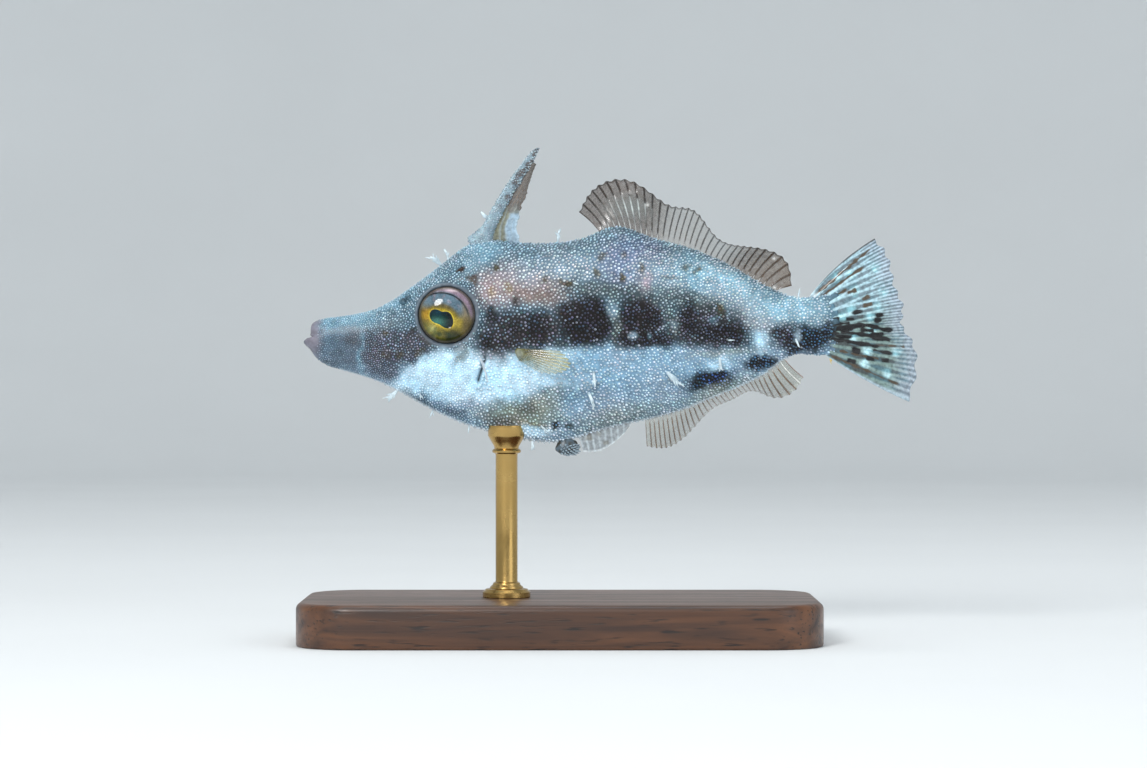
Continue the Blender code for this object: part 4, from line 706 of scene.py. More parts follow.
from_iris = np.hypot(rearward - IRIS_MIDDLE[0], upward - IRIS_MIDDLE[1])
iris_turn = np.arctan2(upward - IRIS_MIDDLE[1], rearward - IRIS_MIDDLE[0])
from_middle = np.hypot(rearward, upward)
above = smooth_step(-0.3, 1.1, upward + 0.25 * rearward)
patchy = noise_at(np.stack([rearward, upward, 0 * upward], -1), 0.5, 3.0)
iris = blend(
    plain("#7a6e22", rearward.shape),
    ("#3e4a20", smooth_step(-0.1, 0.4, patchy + 0.25 * (rearward < 0)) * 0.8),
    ("#a48c28", smooth_step(0.55, 0.08, from_pupil) * 0.85),
    ("#20280f", smooth_step(1.45, 2.1, from_iris) * (1 - above) * 0.9),
    ("#16281a", 0.8 * patch(rearward, upward, 0.4, -2.0, 1.3, 0.55)),
    ("#b08628", 0.75 * patch(rearward, upward, -2.1, 0.1, 0.5, 0.75)),
    ("#a89234", 0.7 * patch(rearward, upward, 1.35, -0.8, 0.6, 0.85)),
    ("#b0b070", 0.6 * patch(rearward, upward, -1.5, -1.35, 0.4, 0.4)),
    ("#5e5434", above * smooth_step(1.15, 1.55, from_iris)),
    ("#566c7a", above * smooth_step(1.6, 2.1, from_iris)),
    ("#8c8490", above * 0.6 * smooth_step(0.1, 0.5, patchy) * smooth_step(1.9, 2.3, from_iris)),
    ("#6b5c38", smooth_step(1.3, 2.0, rearward) * smooth_step(1.9, 2.5, from_iris) * 0.8),
    ("#1a1e22", above * np.exp(-((from_iris - 2.95) / 0.11) ** 2)),
    ("#7c6c7a", above * smooth_step(2.98, 3.2, from_iris)),
    # The pale pink streak high on the lilac cap is a painted highlight.
    ("#d0b8c2", 0.8 * patch(rearward, upward, 0.7, 2.55, 0.6, 0.14)),
    ("#4a4438", 0.8 * smooth_step(2.55, 2.8, from_middle)),
    ("#1d1a14", smooth_step(2.82, 2.95, from_middle) * (0.85 - 0.4 * above)))
streaks = np.array([noise.noise((4.5 * math.cos(turn), 4.5 * math.sin(turn), 0.6 * away))
                    for turn, away in zip(iris_turn.ravel(), from_iris.ravel())]).reshape(iris_turn.shape)
rim_shine = 0.65 + 0.35 * np.cos(np.radians(pupil_turn) * 2 - 1.2) + 0.3 * patchy
iris = blend(iris * (1 + 0.45 * streaks[..., None]),
             ("#d8c640", np.clip(rim_shine, 0.2, 1) * np.exp(-((from_pupil - 0.04) / 0.042) ** 2)))
PUPIL_DARK = "#061214"
# The pupil is near black. The pale teal patch at its lower left is a painted reflection in the glass, and its
# upper right is tinted dark blue.
pupil = blend(plain(PUPIL_DARK, rearward.shape),
              ("#2f6f62", 0.9 * patch(rearward, upward, -0.95, -0.75, 0.75, 0.55)),
              ("#0d3340", 0.8 * patch(rearward, upward, -0.9, 0.25, 0.6, 0.4)))
eye_colours = np.vstack([mixed(iris, pupil, smooth_step(0.03, -0.03, from_pupil)).reshape(-1, 3),
                         plain(PUPIL_DARK, (2,))])

glass_eye, eye_tree, eye_inputs = new_finish("eye_polished_glass", {
    "Roughness": 0.07, "Specular IOR Level": 0.35})
# The painted iris has a fine metallic fleck under the clear polished glass.
uneven_paint(eye_tree, eye_inputs, "paint", 0.14, 2.0, (0.3, 0.7), (0.7, 1.25))

for side, side_name in ((LEFT, "left"), (RIGHT, "right")):
    eye_rings = np.stack([EYE_X + rearward, side * (eye_middle_y + dome), EYE_HEIGHT + upward], -1)
    eye_points, eye_faces = closed_rings(
        eye_rings, [EYE_X, side * (eye_middle_y + EYE_HALF_DEPTH), EYE_HEIGHT],
        [EYE_X, side * (eye_middle_y + EYE_BACK), EYE_HEIGHT])
    eye = mesh_piece("eye_" + side_name + "_glass", eye_points, eye_faces, glass_eye, recalculate=True)
    paint(eye, "paint", eye_colours)
    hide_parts("eye_" + side_name)
    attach(eye, "root")


# Nostrils and gill flap. Two small raised pores lie before each eye, and a white leaf of skin closes the gill
# slit. They are cast with the head and only look separate.
NOSTRILS = ((-16.35, 35.35, 0.26), (-15.75, 35.7, 0.2))
PORE_PROFILE = ((1.7, -0.25), (1.35, 0.0), (1.05, 0.16), (0.85, 0.2), (0.66, 0.1), (0.5, -0.15), (0.3, -0.5))
PORE_SIDES = 24
LEAF_LENGTH, LEAF_WIDTH, LEAF_BEHIND, LEAF_ROWS, LEAF_COLUMNS, LEAF_HALF = 2.7, 0.34, 0.36, 22, 7, 0.045


def flank_frame(x, z, side):
    """A place on the flank's skin and two unit steps along it and one out of it."""
    step = 0.1
    here = np.array([x, side * (flank(x, z) - COAT_DEPTH), z])
    back = np.array([x + step, side * (flank(x + step, z) - COAT_DEPTH), z]) - here
    up = np.array([x, side * (flank(x, z + step) - COAT_DEPTH), z + step]) - here
    back, up = back / np.linalg.norm(back), up / np.linalg.norm(up)
    out = np.cross(up, back) * side * -1
    return here, back, up, out / np.linalg.norm(out)


def merge(parts):
    """Points and faces of many parts as one, and the number of the part that each point belongs to."""
    points, faces, owners, count = [], [], [], 0
    for number, (part_points, part_faces) in enumerate(parts):
        points.append(np.asarray(part_points, float))
        faces += [[corner + count for corner in face] for face in part_faces]
        owners.append(np.full(len(part_points), number))
        count += len(part_points)
    return np.vstack(points), faces, np.concatenate(owners)


pores, pore_depths = [], []
angles = angles_round(PORE_SIDES)
for side in (LEFT, RIGHT):
    for x, z, radius in NOSTRILS:
        here, back, up, out = flank_frame(x, z, side)
        around = np.cos(angles)[:, None] * back + np.sin(angles)[:, None] * up
        rings = np.array([here + radius * (share * around + rise * out) for share, rise in PORE_PROFILE])
        pores.append(closed_rings(rings, here - 0.3 * out, here - radius * 0.7 * out))
        pore_depths += [rise for share, rise in PORE_PROFILE for _ in angles] + [0.0, -0.9]
pore_points, pore_faces, _ = merge(pores)
nostrils = mesh_piece("nostril_pores", pore_points, pore_faces, skin_finish, recalculate=True)
# Painted shade: inside each pore, below its rim, the skin is painted near black.
below_rim = smooth_step(0.1, -0.1, pore_depths) * (np.array(pore_depths) != PORE_PROFILE[0][1])
paint(nostrils, "ground", blend(skin_colours(pore_points)[0],
                                ("#aebcc6", 0.4 * smooth_step(0.0, 0.15, pore_depths)),
                                ("#120e14", below_rim)))


def closed_sheet(grid, half):
    """Points and faces of a closed thin sheet, from a grid of places and half the thickness at each."""
    rows, columns = grid.shape[:2]
    normals = np.cross(np.gradient(grid, axis=1), np.gradient(grid, axis=0))
    normals = normals / np.maximum(np.linalg.norm(normals, axis=-1, keepdims=True), 1e-9)
    offset = normals * np.broadcast_to(half, (rows, columns))[..., None]
    front = grid_faces(rows, columns)
    count = rows * columns
    index = np.arange(count).reshape(rows, columns)
    rim = np.concatenate([index[0, :-1], index[:-1, -1], index[-1, :0:-1], index[:0:-1, 0]])
    after = np.roll(rim, -1)
    edge = np.stack([rim, after, after + count, rim + count], -1)
    points = np.vstack([(grid + offset).reshape(-1, 3), (grid - offset).reshape(-1, 3)])
    return points, np.concatenate([front, front[:, ::-1] + count, edge]).tolist()


leaves = []
for side in (LEFT, RIGHT):
    down, out_share = np.meshgrid(np.linspace(-1, 1, LEAF_ROWS), np.linspace(-0.4, 1, LEAF_COLUMNS),
                                  indexing="ij")
    x = GILL_X + LEAF_BEHIND - down * LEAF_LENGTH / 2 * math.sin(slit_tilt) + 0.12 * np.cos(2.2 * down)
    z = GILL_HEIGHT + down * LEAF_LENGTH / 2 * math.cos(slit_tilt)
    width = LEAF_WIDTH * np.sqrt(np.maximum(1 - down ** 2, 0.02)) * (1 + 0.15 * np.sin(7 * down))
    y = side * (flank(x, z) - COAT_DEPTH + width * out_share * 0.85)
    leaves.append(closed_sheet(np.stack([x - 0.6 * width * out_share, y, z], -1), LEAF_HALF))
leaf_points, leaf_faces, _ = merge(leaves)
gill_leaf = mesh_piece("gill_leaves", leaf_points, leaf_faces, skin_finish, recalculate=True)
paint(gill_leaf, "ground", blend(plain("#f2f8fc", (len(leaf_points),)),
                                 ("#9fb0bd", 0.5 + 0.5 * noise_at(leaf_points, 0.5, 2.0))))
for piece in (nostrils, gill_leaf):
    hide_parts("head")
    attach(piece, "root")


# Soft dorsal fin. The rays are drawn wire bedded in a clear film, tinted smoky brown in its front and rear
# lobes and left nearly clear between them. Its front lobe leans away, as the live fin was waving.
FILM_HALF, FIN_ROWS, FIN_SINK, SCALLOP = 0.035, 38, 0.32, 0.045
RAY_STEPS = (0, 0.05, 0.1, 0.18, 0.35, 0.5, 0.65, 0.82, 0.9, 0.95)
DORSAL_RAYS, DORSAL_FRONT, DORSAL_REAR, DORSAL_RAY_HALF = 34, 4.1, 22.3, 0.11
# Share of the base, then how far the tip lies behind its ray's root, to the right of it and above the back.
DORSAL_TIPS = ((0, -2.1, 3.1, 2.1), (0.12, -2.3, 2.2, 4.35), (0.24, -0.75, 0.0, 5.35), (0.36, 0.5, -3.4, 3.5),
               (0.48, 1.0, -3.5, 3.5), (0.61, 0.85, -4.2, 1.6), (0.73, 1.1, -3.8, 1.6),
               (0.85, 1.9, -2.1, 2.5), (0.94, 2.6, -0.8, 2.0), (1, 1.9, -0.3, 0.3))
DORSAL_BOW, DORSAL_BOW_ALONG, DORSAL_BOW_SPREAD = -1.3, 0.2, 0.1
# Small white spots painted on the film, each a painted highlight where the film catches the light: place
# along X and height.
DORSAL_HIGHLIGHT_SPOTS = ((9.1, 45.5), (19.8, 41.4), (22.3, 39.9), (22.4, 36.9))


def ray_columns(rays):
    """Places across a fin, counted in rays, closer together beside each ray."""
    return np.array([i + step for i in range(rays - 1) for step in RAY_STEPS] + [rays - 1])


def beside_ray(column, half_share=0.13):
    """1 in the middle of a ray and 0 beside it."""
    return np.maximum(1 - (np.abs(column - np.round(column)) / half_share) ** 2, 0.0)


def soft_fin(rays, ray_half, line, sign, front, rear, tips, bow):
    """A grid of places on a fin that stands on a line of the body, with half its thickness, its shares of
    the length, its columns as rays and as shares of the base, and where its rays are."""
    share, column = np.meshgrid(np.linspace(0, 1, FIN_ROWS), ray_columns(rays), indexing="ij")
    along, ray = column / (rays - 1), beside_ray(column)
    places, *offsets = zip(*tips)
    tip_x, tip_y, tip_z = (curve_through(places, values)(along) for values in offsets)
    reach = share * (1 - SCALLOP * np.sin(math.pi * column) ** 2)
    x = front + (rear - front) * along
    root_z = line(x) - sign * FIN_SINK
    y = tip_y * reach ** 1.5 + bow(along) * np.sin(math.pi * reach) * reach
    z = root_z + (line(x) + tip_z - root_z) * reach ** 0.75
    half = FILM_HALF + (ray_half * (1 - 0.6 * share) - FILM_HALF) * ray
    return np.stack([x + tip_x * reach, y, z], -1), half, share, column, along, ray


def fin_film(name, shine):
    """A clear film over thin rays: its tint and how much it covers are painted on its points."""
    film, tree, inputs = new_finish(name, {"Roughness": shine, "Coat Weight": 0.3, "Coat Roughness": 0.1})
    _, fibres, tone = uneven_paint(tree, inputs, "tint", 0.35, 3.0, (0.3, 0.7), (0.8, 1.2))
    cover = add_node(tree, "ShaderNodeAttribute", {"attribute_name": "cover"})
    add_node(tree, "ShaderNodeMath", {"operation": "MULTIPLY", "use_clamp": True},
             {0: cover.outputs["Fac"], 1: tone}, {0: inputs["Alpha"]})
    add_node(tree, "ShaderNodeBump", None, {"Height": fibres, "Strength": 0.3, "Distance": 0.04 * MM},
             {"Normal": inputs["Normal"]})
    return film


def film_piece(name, film, grid, half, tint, cover):
    """A closed thin sheet of film, with its tint and its cover painted on both faces."""
    points, faces = closed_sheet(grid, half)
    piece = mesh_piece(name, points, faces, film, recalculate=True)
    paint(piece, "tint", np.tile(tint.reshape(-1, 3), (2, 1)))
    paint(piece, "cover", np.tile(np.clip(cover, 0, 1).ravel(), 2))
    return piece


# The film is glossy, and what is behind it shows through where its smoky tint is thin.
dorsal_film = fin_film("dorsal_fin_smoky_film", 0.3)
grid, half, share, column, along, ray = soft_fin(
    DORSAL_RAYS, DORSAL_RAY_HALF, back_height, 1, DORSAL_FRONT, DORSAL_REAR, DORSAL_TIPS,
    lambda along: DORSAL_BOW * np.exp(-((along - DORSAL_BOW_ALONG) / DORSAL_BOW_SPREAD) ** 2))
x, _, z = np.moveaxis(grid, -1, 0)
front_lobe, rear_lobe = smooth_step(0.42, 0.26, along), smooth_step(0.66, 0.84, along)
lobes = np.maximum(front_lobe, rear_lobe)
fold = patch(x, z, 7.4, 45.2, 2.2, 1.3)
edge = smooth_step(0.95, 1.0, share)
film_tint = blend(plain("#46301c", share.shape), ("#5c4426", rear_lobe), ("#7c8280", fold * 0.8),
                  ("#7a6a50", 0.7 * (1 - lobes)))
# In the fold the rays near the back are pale, partly their own pale colour and partly a painted highlight
# where the film bends.
ray_tint = blend(plain("#1d1614", share.shape), ("#3a2a20", rear_lobe),
                 ("#cfd6d6", fold * (share < 0.6) * 0.9), ("#e6eaea", smooth_step(0.16, 0.04, share) * 0.7))
# The small white spots added here are painted highlights.
tint = blend(mixed(film_tint, ray_tint, ray), ("#171110", edge * 0.8),
             *(("#f2f2ee", patch(x, z, spot_x, spot_z, 0.16, 0.16)) for spot_x, spot_z in DORSAL_HIGHLIGHT_SPOTS))
cover = 0.14 + 0.28 * front_lobe + 0.28 * rear_lobe + 0.5 * fold * (1 - front_lobe * 0.4)
cover = cover + (0.95 - cover) * np.maximum(ray * (0.65 + 0.35 * lobes), edge * 0.6)
dorsal_fin = film_piece("soft_dorsal_fin_film", dorsal_film, grid, half, tint, cover)
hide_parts("soft_dorsal_fin")
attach(dorsal_fin, "root")


# Anal fin. It is made as the dorsal fin is, with brown wire rays in a paler, milky film, and its last rays
# stand clear of the body, one of them bright.
ANAL_RAYS, ANAL_FRONT, ANAL_REAR, ANAL_RAY_HALF = 33, 8.9, 23.4, 0.10
ANAL_TIPS = ((0, 0.2, 1.0, -2.7), (0.15, 0.5, 2.0, -3.3), (0.3, 0.8, 3.3, -2.1), (0.42, 0.9, 4.1, -0.9),
             (0.6, 0.9, 4.2, -0.7), (0.75, 0.9, 4.0, -0.9), (0.87, 1.7, 2.6, -2.6), (0.93, 2.3, 1.7, -2.5),
             (1, 2.1, 1.2, -1.8))

# The film's pale tint veils what is behind it, so that it looks milky.
anal_film = fin_film("anal_fin_milky_film", 0.35)
grid, half, share, column, along, ray = soft_fin(
    ANAL_RAYS, ANAL_RAY_HALF, belly_height, -1, ANAL_FRONT, ANAL_REAR, ANAL_TIPS, lambda along: 0.0 * along)
film_tint = blend(plain("#8f9488", share.shape), ("#c8ccc4", smooth_step(0.75, 1.0, share)))
ray_tint = blend(plain("#6d4c34", share.shape), ("#8a4a30", smooth_step(31.6, 32.0, column)),
                 ("#eef0ea", np.exp(-((column - 31) / 0.3) ** 2)),
                 ("#e6eaea", smooth_step(0.16, 0.04, share) * 0.7))
cover = 0.24 + 0.2 * smooth_step(0.8, 1.0, share) + 0.12 * smooth_step(0.8, 1.0, along)
cover = cover + (0.95 - cover) * ray * 0.9
anal_fin = film_piece("anal_fin_film", anal_film, grid, half, mixed(film_tint, ray_tint, ray), cover)
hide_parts("anal_fin")
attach(anal_fin, "root")


# Tail fin. Twelve rays of drawn wire, each split twice towards its end, lie in a pleated blue-grey film that
# is sprayed with pale cyan blotches and short black dashes along the rays.
TAIL_ROOT_X, STEM_LEAN, PLANE_HEIGHT, TAIL_ROOT_INSET, TAIL_ROOT_SINK = 27.4, -0.25, 33.0, 0.15, 0.5
TAIL_RAYS, TAIL_FIN_ROWS, TAIL_STEPS, TAIL_RAY_HALF, TAIL_WEB_HALF = 12, 64, 22, 0.13, 0.04
TAIL_LENGTHS = ((0, 8.5), (0.09, 8.95), (0.22, 8.8), (0.36, 8.55), (0.45, 8.85), (0.64, 8.4), (0.73, 9.1),
                (1, 9.6))
TAIL_ANGLES = ((0, 47), (0.25, 29), (0.5, 11), (0.75, -2.5), (0.9, -17.5), (1, -32))
TAIL_CURL, TAIL_CUP, TAIL_PLEATS, TAIL_PLEAT_DEPTH = 11, 0.55, 5, 0.25
TAIL_SCALLOP = 0.035
# Each dash is a line through places given as ray number and share of its length, with its half width.
TAIL_DASHES = (
    (0.26, (6.47, 0.08), (6.45, 0.55)), (0.2, (6.45, 0.58), (6.9, 0.7), (7.2, 0.83)),
    (0.2, (7.05, 0.26), (7.4, 0.46), (7.8, 0.59), (8.0, 0.74)), (0.18, (8.2, 0.27), (8.4, 0.44), (8.6, 0.61)),
    (0.3, (9.05, 0.33), (9.15, 0.38)), (0.26, (4.95, 0.44), (4.97, 0.5)), (0.24, (6.1, 0.68), (6.12, 0.73)),
    (0.22, (10.1, 0.28), (10.15, 0.33)), (0.2, (9.6, 0.5), (9.65, 0.56)), (0.2, (9.5, 0.66), (9.5, 0.7)),
    (0.2, (5.3, 0.12), (5.3, 0.24)), (0.45, (5.8, 0.03), (7.0, 0.05)), (0.3, (6.2, 0.05), (6.45, 0.2)),
    (0.2, (7.0, 0.06), (7.2, 0.22)),
    (0.2, (6.75, 0.2), (6.85, 0.38)), (0.2, (7.6, 0.2), (7.75, 0.34)), (0.18, (7.0, 0.5), (7.1, 0.62)),
    (0.22, (8.0, 0.12), (8.2, 0.24)), (0.2, (5.9, 0.2), (5.95, 0.36)), (0.18, (7.5, 0.62), (7.55, 0.72)),
    (0.16, (8.9, 0.55), (9.0, 0.72)), (0.2, (5.55, 0.36), (5.6, 0.42)), (0.2, (5.6, 0.72), (5.62, 0.77)),
)
TAIL_BROWN = ((0.2, (3.9, 0.6), (3.9, 0.66)), (0.2, (4.5, 0.6), (4.5, 0.67)), (0.2, (2.9, 0.46), (3.0, 0.52)),
              (0.13, (0.5, 0.0), (0.5, 0.9)), (0.11, (1.5, 0.05), (1.5, 0.7)), (0.1, (2.5, 0.1), (2.5, 0.45)),
              (0.1, (10.5, 0.1), (10.5, 0.85)), (0.1, (9.5, 0.2), (9.5, 0.6)), (0.1, (8.5, 0.6), (8.5, 0.9)))
# Each blotch: its middle, as ray number and share of its length.
TAIL_PALE = ((1.54, 0.55), (3.07, 0.52), (4.48, 0.43), (5.16, 0.30), (5.77, 0.61), (4.85, 0.71), (6.75, 0.36),
             (7.9, 0.36), (9.07, 0.47), (10, 0.45), (2.0, 0.8), (3.9, 0.84), (7.0, 0.62), (8.9, 0.78),
             (2.6, 0.3), (10.2, 0.7), (0.8, 0.38))

tail_length_at, tail_angle_at = curve_through(*zip(*TAIL_LENGTHS)), curve_through(*zip(*TAIL_ANGLES))


def tail_places(share, column):
    """Places on the tail fin, from a share of the length and a place across it counted in rays."""
    along = column / (TAIL_RAYS - 1)
    top = float(back_height(TAIL_ROOT_X)) - TAIL_ROOT_INSET
    bottom = float(belly_height(TAIL_ROOT_X)) + TAIL_ROOT_INSET
    height = top + (bottom - top) * along
    root_x = TAIL_ROOT_X - TAIL_ROOT_SINK + STEM_LEAN * (height - PLANE_HEIGHT)
    length = tail_length_at(along) + TAIL_ROOT_SINK
    length = length * (1 - TAIL_SCALLOP * np.sin(math.pi * column) ** 2)
    angle = np.radians(tail_angle_at(along) + TAIL_CURL * (0.5 - share) * (1 - 1.5 * along))
    sway = TAIL_CUP * np.sin(math.pi * along) + TAIL_PLEAT_DEPTH * np.sin(TAIL_PLEATS * math.pi * along)
    reach = length * share
    return np.stack([root_x + reach * np.cos(angle), sway * share ** 2, height + reach * np.sin(angle)], -1)


def from_line(grid, stops):
    """How far each place of a grid lies, on the side view, from a line through places on the tail fin."""
    places = grid[..., [0, 2]]
    corners = [tail_places(np.array(share), np.array(column))[[0, 2]] for column, share in stops]
    nearest = np.full(grid.shape[:2], np.inf)
    for start, end in zip(corners[:-1], corners[1:]):
        step = end - start
        part = np.clip(((places - start) @ step) / max(step @ step, 1e-9), 0, 1)
        nearest = np.minimum(nearest, np.linalg.norm(places - start - part[..., None] * step, axis=-1))
    return nearest


share, column = np.meshgrid(np.linspace(0, 1, TAIL_FIN_ROWS),
                            np.linspace(0, TAIL_RAYS - 1, (TAIL_RAYS - 1) * TAIL_STEPS + 1), indexing="ij")
grid = tail_places(share, column)
first_split, second_split = 0.25 * smooth_step(0.28, 0.62, share), 0.125 * smooth_step(0.6, 0.86, share)
from_ray = np.abs(np.abs(np.abs(column - np.round(column)) - first_split) - second_split)
ray_width = 0.21 / (0.56 + 1.15 * share) * (1 - 0.35 * smooth_step(0.3, 0.9, share))
ray = np.maximum(1 - (from_ray / ray_width) ** 2, 0.0)
half = TAIL_WEB_HALF + (TAIL_RAY_HALF * (1 - 0.55 * share) - TAIL_WEB_HALF) * ray
warp = 0.22 * noise_at(grid, 0.6, 4.0)
pale = np.zeros(share.shape)
for middle in TAIL_PALE:
    pale = np.maximum(pale, smooth_step(0.75, 0.15, from_line(grid, (middle, middle)) + warp))
film_tint = blend(plain("#70848e", share.shape), ("#7e8c9a", 0.8 * smooth_step(0.8, 1.0, share)),
                  ("#2e3028", 0.8 * smooth_step(4.0, 6.0, column) * smooth_step(0.9, 0.7, share)),
                  ("#4e7480", 0.6 * smooth_step(0.1, -0.3, noise_at(grid, 1.4, 8.0))),
                  ("#84bcc8", pale * 0.85))
ray_tint = blend(plain("#aed0dc", share.shape), ("#6c8278", smooth_step(4.0, 7.0, column) * 0.85),
                 ("#c0e6ee", pale), ("#bcc6d6", smooth_step(0.7, 1.0, share) * 0.7))
# The rays are jointed from a quarter of their length on, and each joint is a little darker.
joints = np.maximum(np.sin(share * 150 + 2 * np.sin(column * 2.1)), 0) ** 4 * smooth_step(0.25, 0.5, share)
tint = mixed(film_tint, ray_tint, ray) * (1 - 0.22 * (joints * ray)[..., None])
dashed = np.zeros(share.shape)
for colour, lines in (("#4c4032", TAIL_BROWN), ("#050407", TAIL_DASHES)):
    for dash_half, *stops in lines:
        away = from_line(grid, stops) + warp * 0.85
        line = smooth_step(dash_half * 1.3, dash_half * 0.75, away)
        tint = blend(tint, (colour, line))
        dashed = np.maximum(dashed, line)
tint = blend(tint, ("#c4dae2", smooth_step(0.14, 0.02, share) * smooth_step(5.0, 3.0, column)),
             ("#a4b8c4", smooth_step(10.82, 10.95, column)),
             ("#2a2422", smooth_step(0.16, 0.05, column) * smooth_step(0.05, 0.3, share) * 0.8))
cover = 0.9 + 0.1 * np.maximum(pale, dashed) + 0.1 * ray - 0.12 * smooth_step(0.85, 1.0, share) * (1 - ray)
# The film is glossy, as the damp web of a live tail is.
tail_film = fin_film("tail_fin_sprayed_film", 0.28)
tail_fin = film_piece("tail_fin_film", tail_film, grid, half, tint, cover)
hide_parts("tail_fin")
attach(tail_fin, "root")


# Pectoral fins. Each is a small fan of eleven rays in nearly clear, yellow-olive film, on a short fleshy lobe
# that grows out of the flank behind the gill slit.
PECTORAL_RAYS, PECTORAL_LENGTH, PECTORAL_TOP_ANGLE, PECTORAL_SPREAD = 11, 5.4, -4, 30
PECTORAL_X, PECTORAL_HEIGHT, PECTORAL_ROOT_HALF = -4.1, 29.85, 0.62
PECTORAL_SHORTENING, PECTORAL_STAND_OFF, PECTORAL_LEAN, PECTORAL_TURN_OUT = 0.42, 0.64, 0.16, 0.42
PECTORAL_LOBE_SHARE, PECTORAL_LOBE_HALF = 0.13, 0.2
PECTORAL_ROWS, PECTORAL_FILM_HALF, PECTORAL_RAY_HALF, PECTORAL_SINK = 40, 0.03, 0.07, 0.25

# The film is nearly clear, so that the flank shows through it.
pectoral_film = fin_film("pectoral_fin_clear_film", 0.25)
share, column = np.meshgrid(np.linspace(-PECTORAL_LOBE_SHARE, 1, PECTORAL_ROWS), ray_columns(PECTORAL_RAYS),
                            indexing="ij")
along, ray = column / (PECTORAL_RAYS - 1), beside_ray(column, 0.16)
angle = np.radians(PECTORAL_TOP_ANGLE - PECTORAL_SPREAD * along)
length = PECTORAL_LENGTH * (1 - PECTORAL_SHORTENING * np.abs(2 * along - 0.7) ** 1.6)
reach = length * share * (1 - SCALLOP * np.sin(math.pi * column) ** 2)
x = PECTORAL_X + reach * np.cos(angle)
z = PECTORAL_HEIGHT + PECTORAL_ROOT_HALF * (1 - 2 * along) + reach * np.sin(angle)
rise = smooth_step(-PECTORAL_LOBE_SHARE, 0.12, share)
out = (PECTORAL_STAND_OFF * rise - PECTORAL_SINK * (1 - rise)
       + np.maximum(reach, 0) * (PECTORAL_LEAN + PECTORAL_TURN_OUT * along))
lobe = np.exp(-(share / 0.09) ** 2) * np.sin(math.pi * (0.08 + 0.84 * along))
half = (PECTORAL_FILM_HALF + (PECTORAL_RAY_HALF * (1 - 0.6 * np.maximum(share, 0)) - PECTORAL_FILM_HALF) * ray
        + PECTORAL_LOBE_HALF * lobe)
film_tint = blend(plain("#7d7a3a", share.shape), ("#a8ae90", smooth_step(0.5, 1.0, share)))
ray_tint = blend(plain("#7c7020", share.shape), ("#a89c48", smooth_step(0.4, 1.0, share)))
streak = ((1 - ray) * smooth_step(0.05, 0.14, share) * smooth_step(0.8, 0.4, share)
          * smooth_step(0.5, 0.2, along))
tint = blend(mixed(film_tint, ray_tint, ray), ("#8f9484", np.minimum(lobe * 1.4, 1.0)),
             ("#2c2412", 0.85 * streak))
cover = (0.26 + 0.6 * ray * (1 - 0.3 * np.maximum(share, 0)) + 0.8 * smooth_step(0.14, 0.04, share)
         + 0.5 * streak)
cover = cover * (1 - 0.5 * smooth_step(0.4, 0.85, along))
for side, side_name in ((LEFT, "left"), (RIGHT, "right")):
    grid = np.stack([x, side * (flank(x, z) + out), z], -1)
    fan = film_piece("pectoral_fin_" + side_name + "_film", pectoral_film, grid, half, tint, cover)
    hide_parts("pectoral_fin_" + side_name)
    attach(fan, "root")


# Dorsal spine. It is one cast rod, rough with grit, with a row of small hooked barbs down each front edge.
# Its surface is dry-brushed pale blue-grey over brown, and it can't fold, because the model is a still one.
SPINE_FOOT_X, SPINE_TIP, SPINE_BOW = -8.1, (-2.3, 51.5), (-0.22, 0, 0.13)
SPINE_HALF_LENGTH, SPINE_HALF_WIDTH = 0.66, 0.5
SPINE_FLARE, SPINE_FLARE_SHARE, SPINE_TAPER, SPINE_POINT = 0.75, 0.14, 0.30, 0.52
SPINE_SIDES, SPINE_ROWS, SPINE_ROUGHNESS = 36, 130, 0.11
BARB_COUNT, BARB_LENGTH, BARB_WIDTH, BARB_TAPER, BARB_SIDES = 24, 0.42, 0.24, (1.0, 0.6, 0.12), 7
BARBS_FROM, BARBS_REACH, REAR_BARBS_FROM, REAR_BARBS_REACH, BARB_SEED = 0.2, 0.76, 0.45, 0.52, 11
SPINE_BASE_HEIGHT, SPINE_RISE, GRIT_FROM_HEIGHT = 41.7, 9.8, 41.0
GRIT_PITCH, GRIT_WIDTH, GRIT_HEIGHT, GRIT_SPAN = 0.21, 0.2, 0.12, 11.5
GRIT_BRIGHTNESS, GRIT_SEED = (0.7, 1.15), 21


def spine_axis(share):
    """The middle line of the spine, from its foot in the back (0) to its tip (1)."""
    foot = np.array([SPINE_FOOT_X, 0, float(back_height(SPINE_FOOT_X))])
    tip = np.array([SPINE_TIP[0], 0, SPINE_TIP[1]])
    share = np.asarray(share, float)[..., None]
    return foot + (tip - foot) * share + np.array(SPINE_BOW) * np.sin(math.pi * share)


def spine_sizes(share):
    """Half the spine's depth from front to rear, and half its width."""
    share = np.asarray(share, float)
    flare = SPINE_FLARE * np.maximum(1 - share / SPINE_FLARE_SHARE, 0) ** 1.5
    taper = 1 - SPINE_TAPER * share - SPINE_POINT * np.maximum(share, 0) ** 7
    return SPINE_HALF_LENGTH * (taper + flare), SPINE_HALF_WIDTH * (taper + 0.6 * flare)


